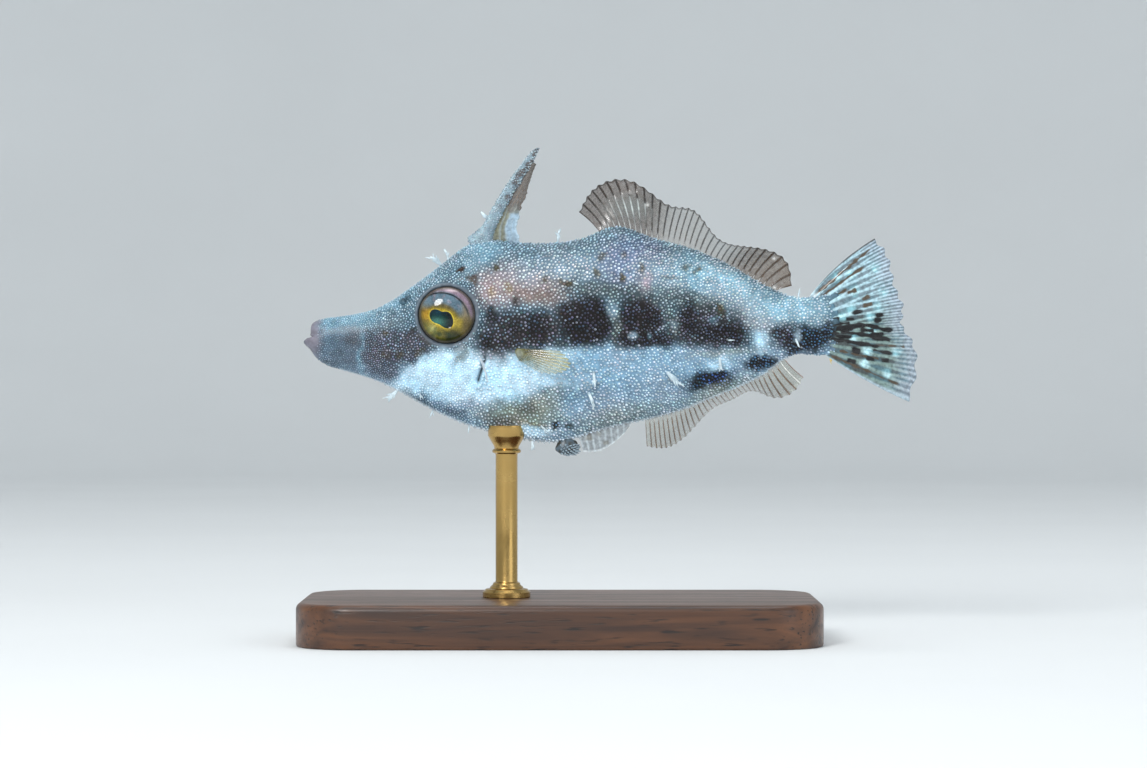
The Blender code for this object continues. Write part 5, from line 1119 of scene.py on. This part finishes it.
def tube(path, radii, sides=8, flatness=1.0):
    """Points and faces of a closed tapered tube along a path, thinner across if flatness is below 1."""
    path, radii = np.asarray(path, float), np.asarray(radii, float)
    forward = np.gradient(path, axis=0)
    forward = forward / np.linalg.norm(forward, axis=1, keepdims=True)
    reference = np.array([0.0, 1.0, 0.0] if np.abs(forward[:, 1]).mean() < 0.75 else [1.0, 0.0, 0.0])
    wide = np.cross(forward, reference)
    wide = wide / np.linalg.norm(wide, axis=1, keepdims=True)
    thin = np.cross(wide, forward)
    angles = angles_round(sides)[None, :, None]
    rings = path[:, None] + radii[:, None, None] * (np.cos(angles) * wide[:, None]
                                                    + flatness * np.sin(angles) * thin[:, None])
    return closed_rings(rings, path[0] - 0.3 * radii[0] * forward[0], path[-1] + radii[-1] * forward[-1])


def spine_share_at(points):
    """How far up the spine the points are: 0 at the foot of its shaft, and 1 near its tip."""
    return (points[:, 2] - SPINE_BASE_HEIGHT) / SPINE_RISE


spine_rise = spine_axis(1.0) - spine_axis(0.0)
spine_rise = spine_rise / np.linalg.norm(spine_rise)
spine_rear = np.array([spine_rise[2], 0, -spine_rise[0]])
shares = np.linspace(-0.14, 0.99, SPINE_ROWS)
deep, wide = np.array(spine_sizes(shares)) * (1 - 0.7 * smooth_step(-0.04, -0.14, shares))
angles = angles_round(SPINE_SIDES)[None, :, None]
spine_middle = spine_axis(shares)[:, None]
rings = (spine_middle + deep[:, None, None] * np.cos(angles) * spine_rear
         + wide[:, None, None] * np.sin(angles) * np.array([0, 1, 0]))
outward = rings - spine_middle
lumps = noise_at(rings, 0.32, 5.0) + 0.5 * noise_at(rings, 0.14, 9.0)
lumps = lumps * (0.35 + 0.65 * smooth_step(0.15, 0.6, shares)[:, None])
rings = rings + SPINE_ROUGHNESS * lumps[..., None] * outward / np.linalg.norm(outward, axis=-1, keepdims=True)
spine_parts = [closed_rings(rings, spine_axis(-0.155), spine_axis(1.0))]
barb_radii = np.array(BARB_TAPER) * BARB_WIDTH / 2
draw = np.random.default_rng(BARB_SEED)
for side in (LEFT, RIGHT):
    for i in range(BARB_COUNT):
        step = i + 0.5 * (side == LEFT) + 0.3 * draw.uniform(-1, 1)
        share = BARBS_FROM + BARBS_REACH * step / BARB_COUNT
        deep_here, wide_here = spine_sizes(share)
        root = spine_axis(share) - spine_rear * deep_here * 0.62 + np.array([0, side * wide_here * 0.62, 0])
        size = draw.uniform(0.6, 1.15) * BARB_LENGTH * (0.6 + 0.6 * share)
        aim = np.array([-0.7, side * 0.5, -0.1]) + 0.2 * draw.uniform(-1, 1, 3)
        aim = aim / np.linalg.norm(aim)
        path = [root, root + 0.55 * size * aim, root + size * (aim + np.array([0.1, 0, -0.25]))]
        spine_parts.append(tube(path, barb_radii, BARB_SIDES))
    for i in range(BARB_COUNT // 2):
        share = REAR_BARBS_FROM + REAR_BARBS_REACH * (i + 0.4 * draw.uniform(-1, 1)) / (BARB_COUNT // 2)
        deep_here, wide_here = spine_sizes(share)
        root = spine_axis(share) + spine_rear * deep_here * 0.7 + np.array([0, side * wide_here * 0.5, 0])
        aim = np.array([0.62, side * 0.3, 0.25]) + 0.3 * draw.uniform(-1, 1, 3)
        spine_parts.append(tube([root, root + 0.15 * aim, root + 0.3 * aim], barb_radii, BARB_SIDES))
spine_points, spine_faces, spine_owner = merge(spine_parts)
spine = mesh_piece("dorsal_spine_rough", spine_points, spine_faces, skin_finish, recalculate=True)
on_shaft, height_share = spine_owner == 0, spine_share_at(spine_points)
front_share = (spine_points - spine_axis(np.clip(height_share, 0, 1))) @ -spine_rear
patchiness = noise_at(spine_points, 0.8, 6.0) + 0.3 * height_share - front_share * 0.5
brown_patches = smooth_step(0.0, 0.35, patchiness)
paint(spine, "ground", blend(plain("#8298a4", on_shaft.shape),
                             ("#4a382c", 0.8 * brown_patches * smooth_step(0.25, 0.5, height_share)),
                             ("#9cb6c2", 0.8 * smooth_step(0.1, 0.5, front_share) * on_shaft),
                             ("#b4c6ce", 0.85 * ~on_shaft)))
paint(spine, "on_spine", np.where(on_shaft & (spine_points[:, 2] > GRIT_FROM_HEIGHT), 1.0, 0.0))


def spine_colours(points):
    """Ground and tip colours of the grit on the spine."""
    speckle = smooth_step(-0.2, 0.4, noise_at(points, 0.7, 8.0))
    return plain("#64798a", speckle.shape), blend(
        plain("#c8dce4", speckle.shape), ("#7c909a", speckle * 0.8),
        ("#64544a", 0.5 * speckle * smooth_step(45.0, 48.0, points[:, 2])))


def spine_unwrap(points):
    """Where places on the spine lie on its own unwrap: up it, and round it."""
    up = (points[:, 2] - GRIT_FROM_HEIGHT) / GRIT_SPAN
    off = points - spine_axis(np.clip(spine_share_at(points), 0, 1))
    turn = np.arctan2(off[:, 1], off @ spine_rear)
    return np.stack([0.01 + 0.97 * np.clip(up, 0, 1), 0.01 + 0.97 * (turn / (2 * math.pi) + 0.5)], axis=1)


grit = coat_piece(spine, "spine_grit", granule, granule_nodes, "on_spine", GRIT_PITCH, GRIT_WIDTH,
                  GRIT_HEIGHT, GRIT_SEED, granule_finish)
paint_coat(grit, granule, GRIT_BRIGHTNESS, GRIT_SEED, spine_colours, spine_unwrap)
spine.data.attributes.remove(spine.data.attributes["on_spine"])
bpy.data.objects.remove(granule)
for piece in (spine, grit):
    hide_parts("dorsal_spine")
    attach(piece, "root")


# Spine web. A small sail of skin joins the spine to the back: thin and brown above, and below it a milky blue
# fold with fibres and a torn, squared rear edge.
WEB_WIDTHS = ((0, 2.95), (0.15, 2.3), (0.3, 1.75), (0.52, 1.35), (0.77, 0.75), (1, 0.35))
WEB_TOP_SHARE, WEB_FOOT_SHARE, WEB_ROWS, WEB_COLUMNS = 0.86, 0.04, 70, 26

# The film is dull and uneven, as dried skin is.
web_film = fin_film("spine_web_dull_film", 0.5)
share, across = np.meshgrid(np.linspace(0, 1, WEB_ROWS), np.linspace(-0.25, 1, WEB_COLUMNS), indexing="ij")
spine_share = WEB_FOOT_SHARE + (WEB_TOP_SHARE - WEB_FOOT_SHARE) * share
deep, _ = spine_sizes(spine_share)
edge_places = spine_axis(spine_share) + deep[..., None] * spine_rear * 0.8
width = curve_through(*zip(*WEB_WIDTHS))(share) + deep * 0.2
ragged = np.array([[1 + 0.14 * noise.noise((12 * s, 3.3, 0.0)) + 0.1 * noise.noise((31 * s, 1.3, 0.0))]
                   for s in share[:, 0]])
x = edge_places[..., 0] + width * across * ragged
y = 0.16 * np.sin(5 * across + 3 * share) * np.maximum(across, 0)
z = edge_places[..., 2] - 0.55 * np.maximum(across, 0) * smooth_step(0.25, 0.0, share) - 0.25 * across * share
z = np.maximum(z, back_height(x) - 0.4)
grid = np.stack([x, y, z], -1)
fibre_wave = np.maximum(np.sin(across * 26 + share * 5), 0)
fibres = fibre_wave ** 2
half = 0.05 + 0.05 * fibre_wave * smooth_step(0.5, 0.2, share)
lower = smooth_step(0.46, 0.3, share + 0.1 * noise_at(grid, 0.7, 3.0))
flap = smooth_step(0.5, 0.62, across + 0.08 * np.sin(9 * share)) * smooth_step(0.34, 0.3, share)
tint = blend(plain("#463a30", share.shape), ("#85776a", fibres * 0.5), ("#767f7c", lower),
             ("#6c6a4a", lower * 0.7 * (1 - fibres) * smooth_step(0.6, 0.3, across)), ("#8ea8bc", 0.9 * flap),
             ("#bcd4e4", 0.7 * flap * smooth_step(0.86, 0.98, across)), ("#98a8b0", lower * fibres * 0.4))
sail = film_piece("spine_web_film", web_film, grid, half, tint, 0.6 + 0.3 * lower + 0.15 * fibres)
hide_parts("spine_web")
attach(sail, "root")


# Skin tabs and spinules. Small branched tabs of pale skin stand on the head, the back, the flanks and the
# belly. They are cut from thin film, and a row of tiny thorns follows the edge of the belly.

# Each tab: place along X, turn on the body, length, lean in degrees, the direction of the lean from the tail
# (0) to straight down (90), and its number of branches.
MIDLINE_TABS = ((-12.4, 90, 1.5, -5, 0, 6), (-11.7, 90, 1.2, 32, 0, 2), (-0.2, 90, 1.4, 0, 0, 3),
                (24.9, 90, 0.95, 0, 0, 1), (-17.0, 270, 1.45, -20, 0, 6), (-13.3, 270, 0.9, 12, 0, 1),
                (-9.5, 270, 0.85, 8, 0, 1), (-2.9, 270, 0.95, 10, 0, 6), (28.3, 270, 0.9, -10, 0, 1))
FLANK_TABS = ((-2.0, 300, 1.1, 50, 30, 3), (3.5, 332, 1.5, 62, 100, 4), (3.0, 320, 1.6, 60, 75, 4),
              (11.2, 326, 1.8, 62, 55, 5), (16.6, 330, 1.3, 60, 100, 4), (-14.6, 298, 0.8, 30, 0, 1),
              (1.4, 28, 0.7, 55, 40, 2), (11.3, 70, 0.8, 20, 0, 1), (13.0, 18, 0.6, 55, 30, 1),
              (17.5, 345, 0.7, 60, 0, 1), (19.4, 300, 0.7, 40, 60, 1), (24.6, 330, 1.0, 55, 80, 2))
TAB_WIDTH, TAB_FLATNESS, TAB_STEPS, TAB_SINK = 0.34, 0.4, 9, 0.22
SPINULE_PITCH, SPINULE_LENGTH, SPINULE_WIDTH, SPINULE_FRONT, SPINULE_REAR = 0.52, 0.26, 0.14, -21.5, 24.5
TAB_SIDES, TWIG_SIDES, TAB_SEED = 8, 6, 5


def tab(x, turn, length, lean, swing, branches, draw):
    """Tubes of one branched tab that stands on the body."""
    step = 0.05
    here = body_points(x, turn, -COAT_DEPTH)
    back = body_points(x + step, turn, -COAT_DEPTH) - here
    back = back / np.linalg.norm(back)
    around = body_points(x, turn + 0.5, -COAT_DEPTH) - body_points(x, turn - 0.5, -COAT_DEPTH)
    out = np.cross(back, around)
    out = out / np.linalg.norm(out)
    out = out if out @ (here - np.array([x, 0, float(widest_height(x))])) > 0 else -out
    across = np.cross(out, back)
    down = across * -np.sign(across[2] or 1)
    flat = back * math.cos(math.radians(swing)) + down * math.sin(math.radians(swing))
    aim = out * math.cos(math.radians(lean)) + flat * math.sin(math.radians(lean))
    beside = np.cross(aim, across)
    bend = beside * draw.uniform(-0.25, 0.25)
    steps = np.linspace(-TAB_SINK, 1, TAB_STEPS)
    path = here + length * (steps[:, None] * aim + (steps ** 2)[:, None] * bend)
    leaf = TAB_WIDTH * (0.55 + (0.55 if branches > 4 else 0.1) * np.sin(math.pi * np.clip(steps, 0, 1)) ** 2)
    radii = leaf * (1 - 0.75 * np.clip(steps, 0, 1) ** 3) / 2 * length
    made = [tube(path, radii, TAB_SIDES, TAB_FLATNESS)]
    for i in range(branches):
        start = 0.3 + 0.6 * i / branches
        root = here + length * (start * aim + start ** 2 * bend)
        side_aim = aim * 0.75 + (1 if i % 2 else -1) * 0.65 * beside + 0.2 * draw.uniform(-1, 1, 3)
        reach = length * draw.uniform(0.28, 0.46)
        twig = [root, root + 0.5 * reach * side_aim, root + reach * (side_aim + 0.25 * aim)]
        made.append(tube(twig, np.array([0.09, 0.07, 0.03]) * (0.6 + 0.4 * length), TWIG_SIDES, 0.6))
    return made


draw = np.random.default_rng(TAB_SEED)
tab_parts = []
for x, turn, *form in MIDLINE_TABS:
    tab_parts += tab(x, turn, *form, draw)
for x, turn, *form in FLANK_TABS:
    tab_parts += tab(x, turn, *form, draw) + tab(x, 180 - turn, *form, draw)
root = spine_axis(0.2) - spine_rear * 0.5
tab_parts.append(tube([root, root + np.array([-0.42, -0.1, 0.2]), root + np.array([-0.75, -0.1, 0.62])],
                      np.array([0.24, 0.21, 0.09]), TAB_SIDES, TAB_FLATNESS))
for x in np.arange(SPINULE_FRONT, SPINULE_REAR, SPINULE_PITCH):
    here = body_points(x, 270.0, -COAT_DEPTH)
    length = SPINULE_LENGTH * draw.uniform(0.6, 1.3) * float(smooth_step(-22, -18, x))
    root = here + np.array([0, draw.uniform(-0.08, 0.08), 0.06])
    path = [root, root + np.array([0.25, 0, -0.6]) * length, root + np.array([0.7, 0, -1.1]) * length]
    tab_parts.append(tube(path, np.array([1.0, 0.6, 0.1]) * SPINULE_WIDTH / 2, TWIG_SIDES))
tab_points, tab_faces, _ = merge(tab_parts)
tabs = mesh_piece("skin_tabs", tab_points, tab_faces, skin_finish, recalculate=True)
# The tab on the stem's underside is straw-coloured, and the others are pale blue-grey.
paint(tabs, "ground", blend(plain("#dbe9ef", (len(tab_points),)),
                            ("#8fa6b2", 0.4 + 0.5 * noise_at(tab_points, 0.5, 1.5)),
                            ("#c8b070", smooth_step(25.0, 25.6, tab_points[:, 0]))))
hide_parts("torso", "head", "tail_stem")
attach(tabs, "root")


# Ventral flap. Behind the stub of the pelvis hangs a short fold of skin, stretched by nine hidden rays. It is
# a thicker, milky film with the same pale edge as the belly.
FLAP_FRONT, FLAP_REAR, FLAP_DROP, FLAP_RIDGES, FLAP_LEAN, FLAP_WAVE = 1.95, 7.3, 1.75, 9, 0.5, 0.2
FLAP_ROWS, FLAP_STEPS = 26, 12

# The film is half dull and lets little through, so that it looks like damp, milky skin.
flap_film = fin_film("ventral_flap_milky_film", 0.4)
flap_columns = np.linspace(0, FLAP_RIDGES - 1, (FLAP_RIDGES - 1) * FLAP_STEPS + 1)
share, column = np.meshgrid(np.linspace(0, 1, FLAP_ROWS), flap_columns, indexing="ij")
along, ridge = column / (FLAP_RIDGES - 1), np.cos(math.pi * column) ** 2
drop = FLAP_DROP * (np.sin(math.pi * (0.22 + 0.78 * along)) ** 0.8 + 0.12) * (1 - SCALLOP * (1 - ridge))
x = FLAP_FRONT + (FLAP_REAR - FLAP_FRONT) * along
grid = np.stack([x + FLAP_LEAN * share * (1 - along), FLAP_WAVE * np.sin(3 * along) * share,
                 belly_height(x) + FIN_SINK - (drop + FIN_SINK) * share], -1)
tint = blend(plain("#8f979c", share.shape), ("#aab5bb", ridge ** 3),
             ("#6f6a5c", 0.6 * smooth_step(0.15, 0.4, noise_at(grid, 0.9, 2.0))),
             ("#e2eaee", smooth_step(0.88, 1.0, share)))
flap = film_piece("ventral_flap_film", flap_film, grid, 0.06 + 0.07 * ridge ** 3 * (1 - 0.5 * share), tint,
                  0.8 + 0.18 * ridge ** 3)
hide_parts("ventral_flap")
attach(flap, "root")


# Pelvic stub. The end of the pelvis is a small bony knob, cast in resin, and set all over with hooked scales
# that point to the tail.
STUB_MIDDLE, STUB_SIZE = np.array([0.75, 0, 20.05]), np.array([1.25, 0.56, 0.62])
STUB_RINGS, STUB_SIDES = 30, 28
STUB_SCALES, SCALE_RADII, SCALE_SIDES, SCALE_SEED = 80, (0.12, 0.08, 0.02), 7, 8

shares, angles = np.linspace(0.03, 0.97, STUB_RINGS)[:, None] * math.pi, angles_round(STUB_SIDES)
rings = np.stack([np.broadcast_to(-np.cos(shares), (STUB_RINGS, STUB_SIDES)),
                  np.sin(shares) * np.cos(angles), np.sin(shares) * np.sin(angles)], -1)
rings = STUB_MIDDLE + rings * STUB_SIZE
rings = rings + 0.06 * noise_at(rings, 0.3, 2.0)[..., None] * (rings - STUB_MIDDLE)
# The knob leans up into the belly, so that no gap shows between them.
rings[..., 2] += 0.45 * smooth_step(STUB_MIDDLE[2], STUB_MIDDLE[2] + 0.6, rings[..., 2])
half_length = np.array([STUB_SIZE[0], 0, 0])
stub_parts = [closed_rings(rings, STUB_MIDDLE - half_length, STUB_MIDDLE + half_length)]
draw = np.random.default_rng(SCALE_SEED)
for i in range(STUB_SCALES):
    length_share = -0.6 + 1.55 * (i + 0.5) / STUB_SCALES
    turn = i * math.pi * (3 - math.sqrt(5))
    from_axis = math.sqrt(1 - length_share ** 2)
    out = np.array([length_share, from_axis * math.cos(turn), from_axis * math.sin(turn)])
    if out[2] < 0.6:
        root = STUB_MIDDLE + out * STUB_SIZE * 0.95
        aim = out * 0.85 + np.array([0.5, 0, -0.05])
        reach = draw.uniform(0.2, 0.34)
        path = [root, root + 0.5 * reach * aim, root + reach * (aim + np.array([0.1, 0, 0.12]))]
        stub_parts.append(tube(path, SCALE_RADII, SCALE_SIDES))
stub_points, stub_faces, stub_owner = merge(stub_parts)
stub = mesh_piece("pelvic_stub_scales", stub_points, stub_faces, skin_finish, recalculate=True)
paint(stub, "ground", blend(plain("#52606a", stub_owner.shape),
                            ("#3a3832", smooth_step(0.0, 0.4, noise_at(stub_points, 0.4, 4.0))),
                            ("#9db0bc", 0.85 * (stub_owner > 0))))
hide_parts("pelvic_stub")
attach(stub, "root")


# Rod. A turned and polished brass rod carries the fish: its cup is filed to the belly, and its foot is let
# into the plinth by a pin from below.
ROD_X, ROD_RADIUS, CUP_RADIUS, FOOT_RADIUS, FOOT_HEIGHT = -5.6, 1.15, 1.95, 2.5, 0.9
CUP_HEIGHT, CUP_WRAP, BASE_THICKNESS, ROD_SIDES = 2.6, 1.1, 4.5, 96

cup_top = float(belly_height(ROD_X)) + CUP_WRAP
foot_top, cup_foot = BASE_THICKNESS + FOOT_HEIGHT, cup_top - CUP_HEIGHT
FILING_FRONT, FILING_REAR, FILING_HEIGHT = -12, 1, 33.5
# Each step of the turned outline: radius and height.
ROD_OUTLINE = (
    (FOOT_RADIUS - 0.1, BASE_THICKNESS - 0.05), (FOOT_RADIUS, BASE_THICKNESS + 0.06),
    (FOOT_RADIUS, foot_top - 0.34), (FOOT_RADIUS - 0.06, foot_top - 0.25),
    (FOOT_RADIUS - 0.22, foot_top - 0.16), (FOOT_RADIUS - 0.3, foot_top - 0.02),
    (FOOT_RADIUS - 0.75, foot_top + 0.08), (ROD_RADIUS * 1.5, foot_top + 0.2),
    (ROD_RADIUS * 1.25, foot_top + 0.45), (ROD_RADIUS * 1.22, foot_top + 0.62),
    (ROD_RADIUS * 1.03, foot_top + 0.72), (ROD_RADIUS, foot_top + 0.85), (ROD_RADIUS, cup_foot - 0.5),
    (ROD_RADIUS * 1.04, cup_foot - 0.35), (ROD_RADIUS * 1.28, cup_foot - 0.22),
    (ROD_RADIUS * 1.32, cup_foot - 0.05), (ROD_RADIUS * 1.24, cup_foot + 0.1),
    (ROD_RADIUS * 1.1, cup_foot + 0.2), (ROD_RADIUS * 1.15, cup_foot + 0.45),
    (ROD_RADIUS * 1.4, cup_foot + 0.95), (CUP_RADIUS - 0.08, cup_foot + 1.4),
    (CUP_RADIUS, cup_foot + 1.55), (CUP_RADIUS, cup_top),
)
rings = np.array([[(ROD_X + radius * math.cos(angle), radius * math.sin(angle), height)
                   for angle in angles_round(ROD_SIDES)] for radius, height in ROD_OUTLINE])
rod_points, rod_faces = closed_rings(rings, (ROD_X, 0, ROD_OUTLINE[0][1]), (ROD_X, 0, cup_top))

brass, brass_tree, brass_inputs = new_finish("rod_polished_brass", {"Metallic": 1.0})
# Turning leaves fine rings round the brass, which spread its highlights, and it is duller in places.
place = add_node(brass_tree, "ShaderNodeTexCoord").outputs["Object"]
stretched = add_node(brass_tree, "ShaderNodeMapping", None, {"Vector": place, "Scale": (0.05, 0.05, 1)})
turning = add_node(brass_tree, "ShaderNodeTexNoise", None,
                   {"Vector": stretched.outputs["Vector"], "Scale": 1 / (0.12 * MM), "Detail": 3.0})
handling = add_node(brass_tree, "ShaderNodeTexNoise", None,
                    {"Vector": place, "Scale": 1 / (2.5 * MM), "Detail": 4.0}).outputs["Fac"]
add_node(brass_tree, "ShaderNodeMix", {"data_type": "RGBA"},
         {0: handling, 6: (*linear("#a08048"), 1), 7: (*linear("#c4a468"), 1)},
         {2: brass_inputs["Base Color"]})
add_node(brass_tree, "ShaderNodeMapRange", None,
         {"Value": handling, "From Min": 0.3, "From Max": 0.7, "To Min": 0.16, "To Max": 0.32},
         {"Result": brass_inputs["Roughness"]})
add_node(brass_tree, "ShaderNodeBump", None,
         {"Height": turning.outputs["Fac"], "Strength": 0.25, "Distance": 0.02 * MM},
         {"Normal": brass_inputs["Normal"]})

rod = mesh_piece("rod_turned", rod_points, rod_faces, brass, recalculate=True)
filing_rings = body_points(np.linspace(FILING_FRONT, FILING_REAR, 60)[:, None], np.arange(72)[None, :] * 5.0,
                           -COAT_DEPTH / 2)
belly_form = mesh_piece("belly_form", *closed_rings(filing_rings, (FILING_FRONT, 0, FILING_HEIGHT),
                                                    (FILING_REAR, 0, FILING_HEIGHT)), brass, recalculate=True)
filed = rod.modifiers.new("filed", "BOOLEAN")
filed.operation, filed.solver, filed.object = "DIFFERENCE", "EXACT", belly_form
rod_mesh = bpy.data.meshes.new_from_object(rod.evaluated_get(bpy.context.evaluated_depsgraph_get()))
rod.modifiers.clear()
rod.data = rod_mesh
bpy.data.objects.remove(belly_form)
rod_mesh.set_sharp_from_angle(angle=math.radians(32))
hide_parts("stand_rod")
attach(rod, "root")


# Plinth. It is one block of dark hardwood with rounded corners, sanded, oiled and waxed, with the grain along
# its length.
BASE_LENGTH, BASE_WIDTH, BASE_CORNER, BASE_EDGE, CORNER_STEPS = 54.0, 27.0, 6.0, 0.7, 14


def rounded_outline(inset, middle_x):
    """Points round the plinth's outline, drawn in by an inset."""
    radius = BASE_CORNER - inset
    outline = []
    for corner, (sign_x, sign_y) in enumerate(((1, 1), (-1, 1), (-1, -1), (1, -1))):
        for step in range(CORNER_STEPS + 1):
            angle = math.pi / 2 * (corner + step / CORNER_STEPS)
            outline.append((sign_x * (BASE_LENGTH / 2 - BASE_CORNER) + radius * math.cos(angle) + middle_x,
                            sign_y * (BASE_WIDTH / 2 - BASE_CORNER) + radius * math.sin(angle)))
    return outline


base_low, base_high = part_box("stand_base")
base_middle_x = (base_low.x + base_high.x) / 2 / MM
edge_profile = [(0.25, 0.0), (0.08, 0.06), (0.0, 0.25), (0.0, BASE_THICKNESS - BASE_EDGE)]
edge_profile += [(BASE_EDGE * (1 - math.cos(angle)), BASE_THICKNESS - BASE_EDGE * (1 - math.sin(angle)))
                 for angle in np.linspace(0, math.pi / 2, 8)[1:]]
plinth_points = [(x, y, z) for inset, z in edge_profile for x, y in rounded_outline(inset, base_middle_x)]
sides = 4 * (CORNER_STEPS + 1)
plinth_faces = grid_faces(len(edge_profile), sides, closed=True).tolist()
plinth_faces += [list(range(sides))[::-1], list(range(len(plinth_points) - sides, len(plinth_points)))]

wood, wood_tree, wood_inputs = new_finish("plinth_oiled_hardwood", {
    "Coat Weight": 0.2, "Coat Roughness": 0.25})
# Long streaks of grain, short dark pores along them and a slow change of tone make it look like walnut. The
# pores are drawn about 3 mm long.
place = add_node(wood_tree, "ShaderNodeTexCoord").outputs["Object"]
lengthwise = add_node(wood_tree, "ShaderNodeMapping", None,
                      {"Vector": place, "Rotation": (0.0, 0.05, 0.03), "Scale": (0.06, 1.0, 1.0)})
grain = add_node(wood_tree, "ShaderNodeTexNoise", None,
                 {"Vector": lengthwise.outputs["Vector"], "Scale": 1 / (1.6 * MM), "Detail": 5.0,
                  "Distortion": 0.6}).outputs["Fac"]
pores_along = add_node(wood_tree, "ShaderNodeMapping", None, {"Vector": place, "Scale": (0.09, 1.0, 1.0)})
pore_noise = add_node(wood_tree, "ShaderNodeTexNoise", None,
                      {"Vector": pores_along.outputs["Vector"], "Scale": 1 / (0.28 * MM), "Detail": 2.0})
streaks = add_node(wood_tree, "ShaderNodeValToRGB", None, {"Fac": grain})
for stop, position, colour in zip(streaks.color_ramp.elements, (0.3, 0.72), ("#2e1a10", "#6e4528")):
    stop.position, stop.color = position, (*linear(colour), 1)
pore_mask = add_node(wood_tree, "ShaderNodeMapRange", None, {
    "Value": pore_noise.outputs["Fac"], "From Min": 0.3, "From Max": 0.42}).outputs["Result"]
add_node(wood_tree, "ShaderNodeMix", {"data_type": "RGBA"},
         {0: pore_mask, 6: (*linear("#1c0f08"), 1), 7: streaks.outputs["Color"]},
         {2: wood_inputs["Base Color"]})
add_node(wood_tree, "ShaderNodeMapRange", None,
         {"Value": grain, "From Min": 0.3, "From Max": 0.7, "To Min": 0.46, "To Max": 0.34},
         {"Result": wood_inputs["Roughness"]})
add_node(wood_tree, "ShaderNodeBump", None, {"Height": pore_mask, "Strength": 0.35, "Distance": 0.05 * MM},
         {"Normal": wood_inputs["Normal"]})

plinth = mesh_piece("plinth_block", plinth_points, plinth_faces, wood, recalculate=True)
plinth.data.set_sharp_from_angle(angle=math.radians(50))
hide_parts("stand_base")
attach(plinth, "root")


# Stage. The stand is on the floor of a round cove of pale card, as in a museum's photo studio, under one
# large soft light from the upper left, a weaker one from the right and two from above.
COVE_FLOOR, COVE_RADIUS, COVE_TOP, COVE_SIDES = 620.0, 260.0, 1300.0, 96
CAMERA_PLACE, CAMERA_LENS = (1.4, -350.0, 26.8), 105.04

profile = [(40.0, 0.0), (COVE_FLOOR, 0.0)]
profile += [(COVE_FLOOR + COVE_RADIUS * math.sin(angle), COVE_RADIUS * (1 - math.cos(angle)))
            for angle in np.linspace(0, math.pi / 2, 25)[1:]]
profile.append((COVE_FLOOR + COVE_RADIUS, COVE_TOP))
cove_points = [(radius * math.cos(angle), radius * math.sin(angle), z)
               for radius, z in profile for angle in angles_round(COVE_SIDES)]
cove_faces = [list(range(COVE_SIDES))] + grid_faces(len(profile), COVE_SIDES, closed=True).tolist()

card, card_tree, card_inputs = new_finish("backdrop_matt_card", {"Roughness": 0.75})
# The card is matt, with a very faint mottle as paper has.
place = add_node(card_tree, "ShaderNodeTexCoord")
mottle = add_node(card_tree, "ShaderNodeTexNoise", None,
                  {"Vector": place.outputs["Object"], "Scale": 1 / (60 * MM), "Detail": 3.0})
add_node(card_tree, "ShaderNodeMix", {"data_type": "RGBA"},
         {0: mottle.outputs["Fac"], 6: (*linear("#dadee0"), 1), 7: (*linear("#e0e4e6"), 1)},
         {2: card_inputs["Base Color"]})
cove = mesh_piece("backdrop", cove_points, cove_faces, card, recalculate=True)


def soft_light(name, position, target, size, power, colour="#ffffff"):
    """A round area light, in millimetres and watts, aimed at a point."""
    lamp = bpy.data.lights.new(name, "AREA")
    lamp.shape = "DISK"
    lamp.size, lamp.energy, lamp.color = size * MM, power, linear(colour)
    made = bpy.data.objects.new(name, lamp)
    made.location = Vector(position) * MM
    made.rotation_euler = (Vector(target) - Vector(position)).to_track_quat("-Z", "Y").to_euler()
    bpy.context.scene.collection.objects.link(made)


soft_light("key", (-170, -400, 270), (0, 0, 32), 170, 1.75, "#fffefc")
soft_light("fill", (330, -300, 120), (0, 0, 30), 300, 0.35, "#f4f8ff")
soft_light("top", (40, 60, 420), (0, 0, 30), 260, 0.35)
soft_light("ceiling", (0, 0, 1200), (0, 0, 0), 1200, 5.5)

world = bpy.data.worlds.new("studio")
bpy.context.scene.world = world
world.use_nodes = True
world.node_tree.nodes["Background"].inputs["Color"].default_value = (*linear("#e8eef4"), 1)
world.node_tree.nodes["Background"].inputs["Strength"].default_value = 0.22

bpy.context.scene.view_settings.view_transform = "Standard"

lens = bpy.data.cameras.new("camera")
lens.lens = CAMERA_LENS
lens.clip_start = 0.01
camera = bpy.data.objects.new("camera", lens)
camera.location = Vector(CAMERA_PLACE) * MM
camera.rotation_euler = (math.pi / 2, 0, 0)
bpy.context.scene.collection.objects.link(camera)
bpy.context.scene.camera = camera
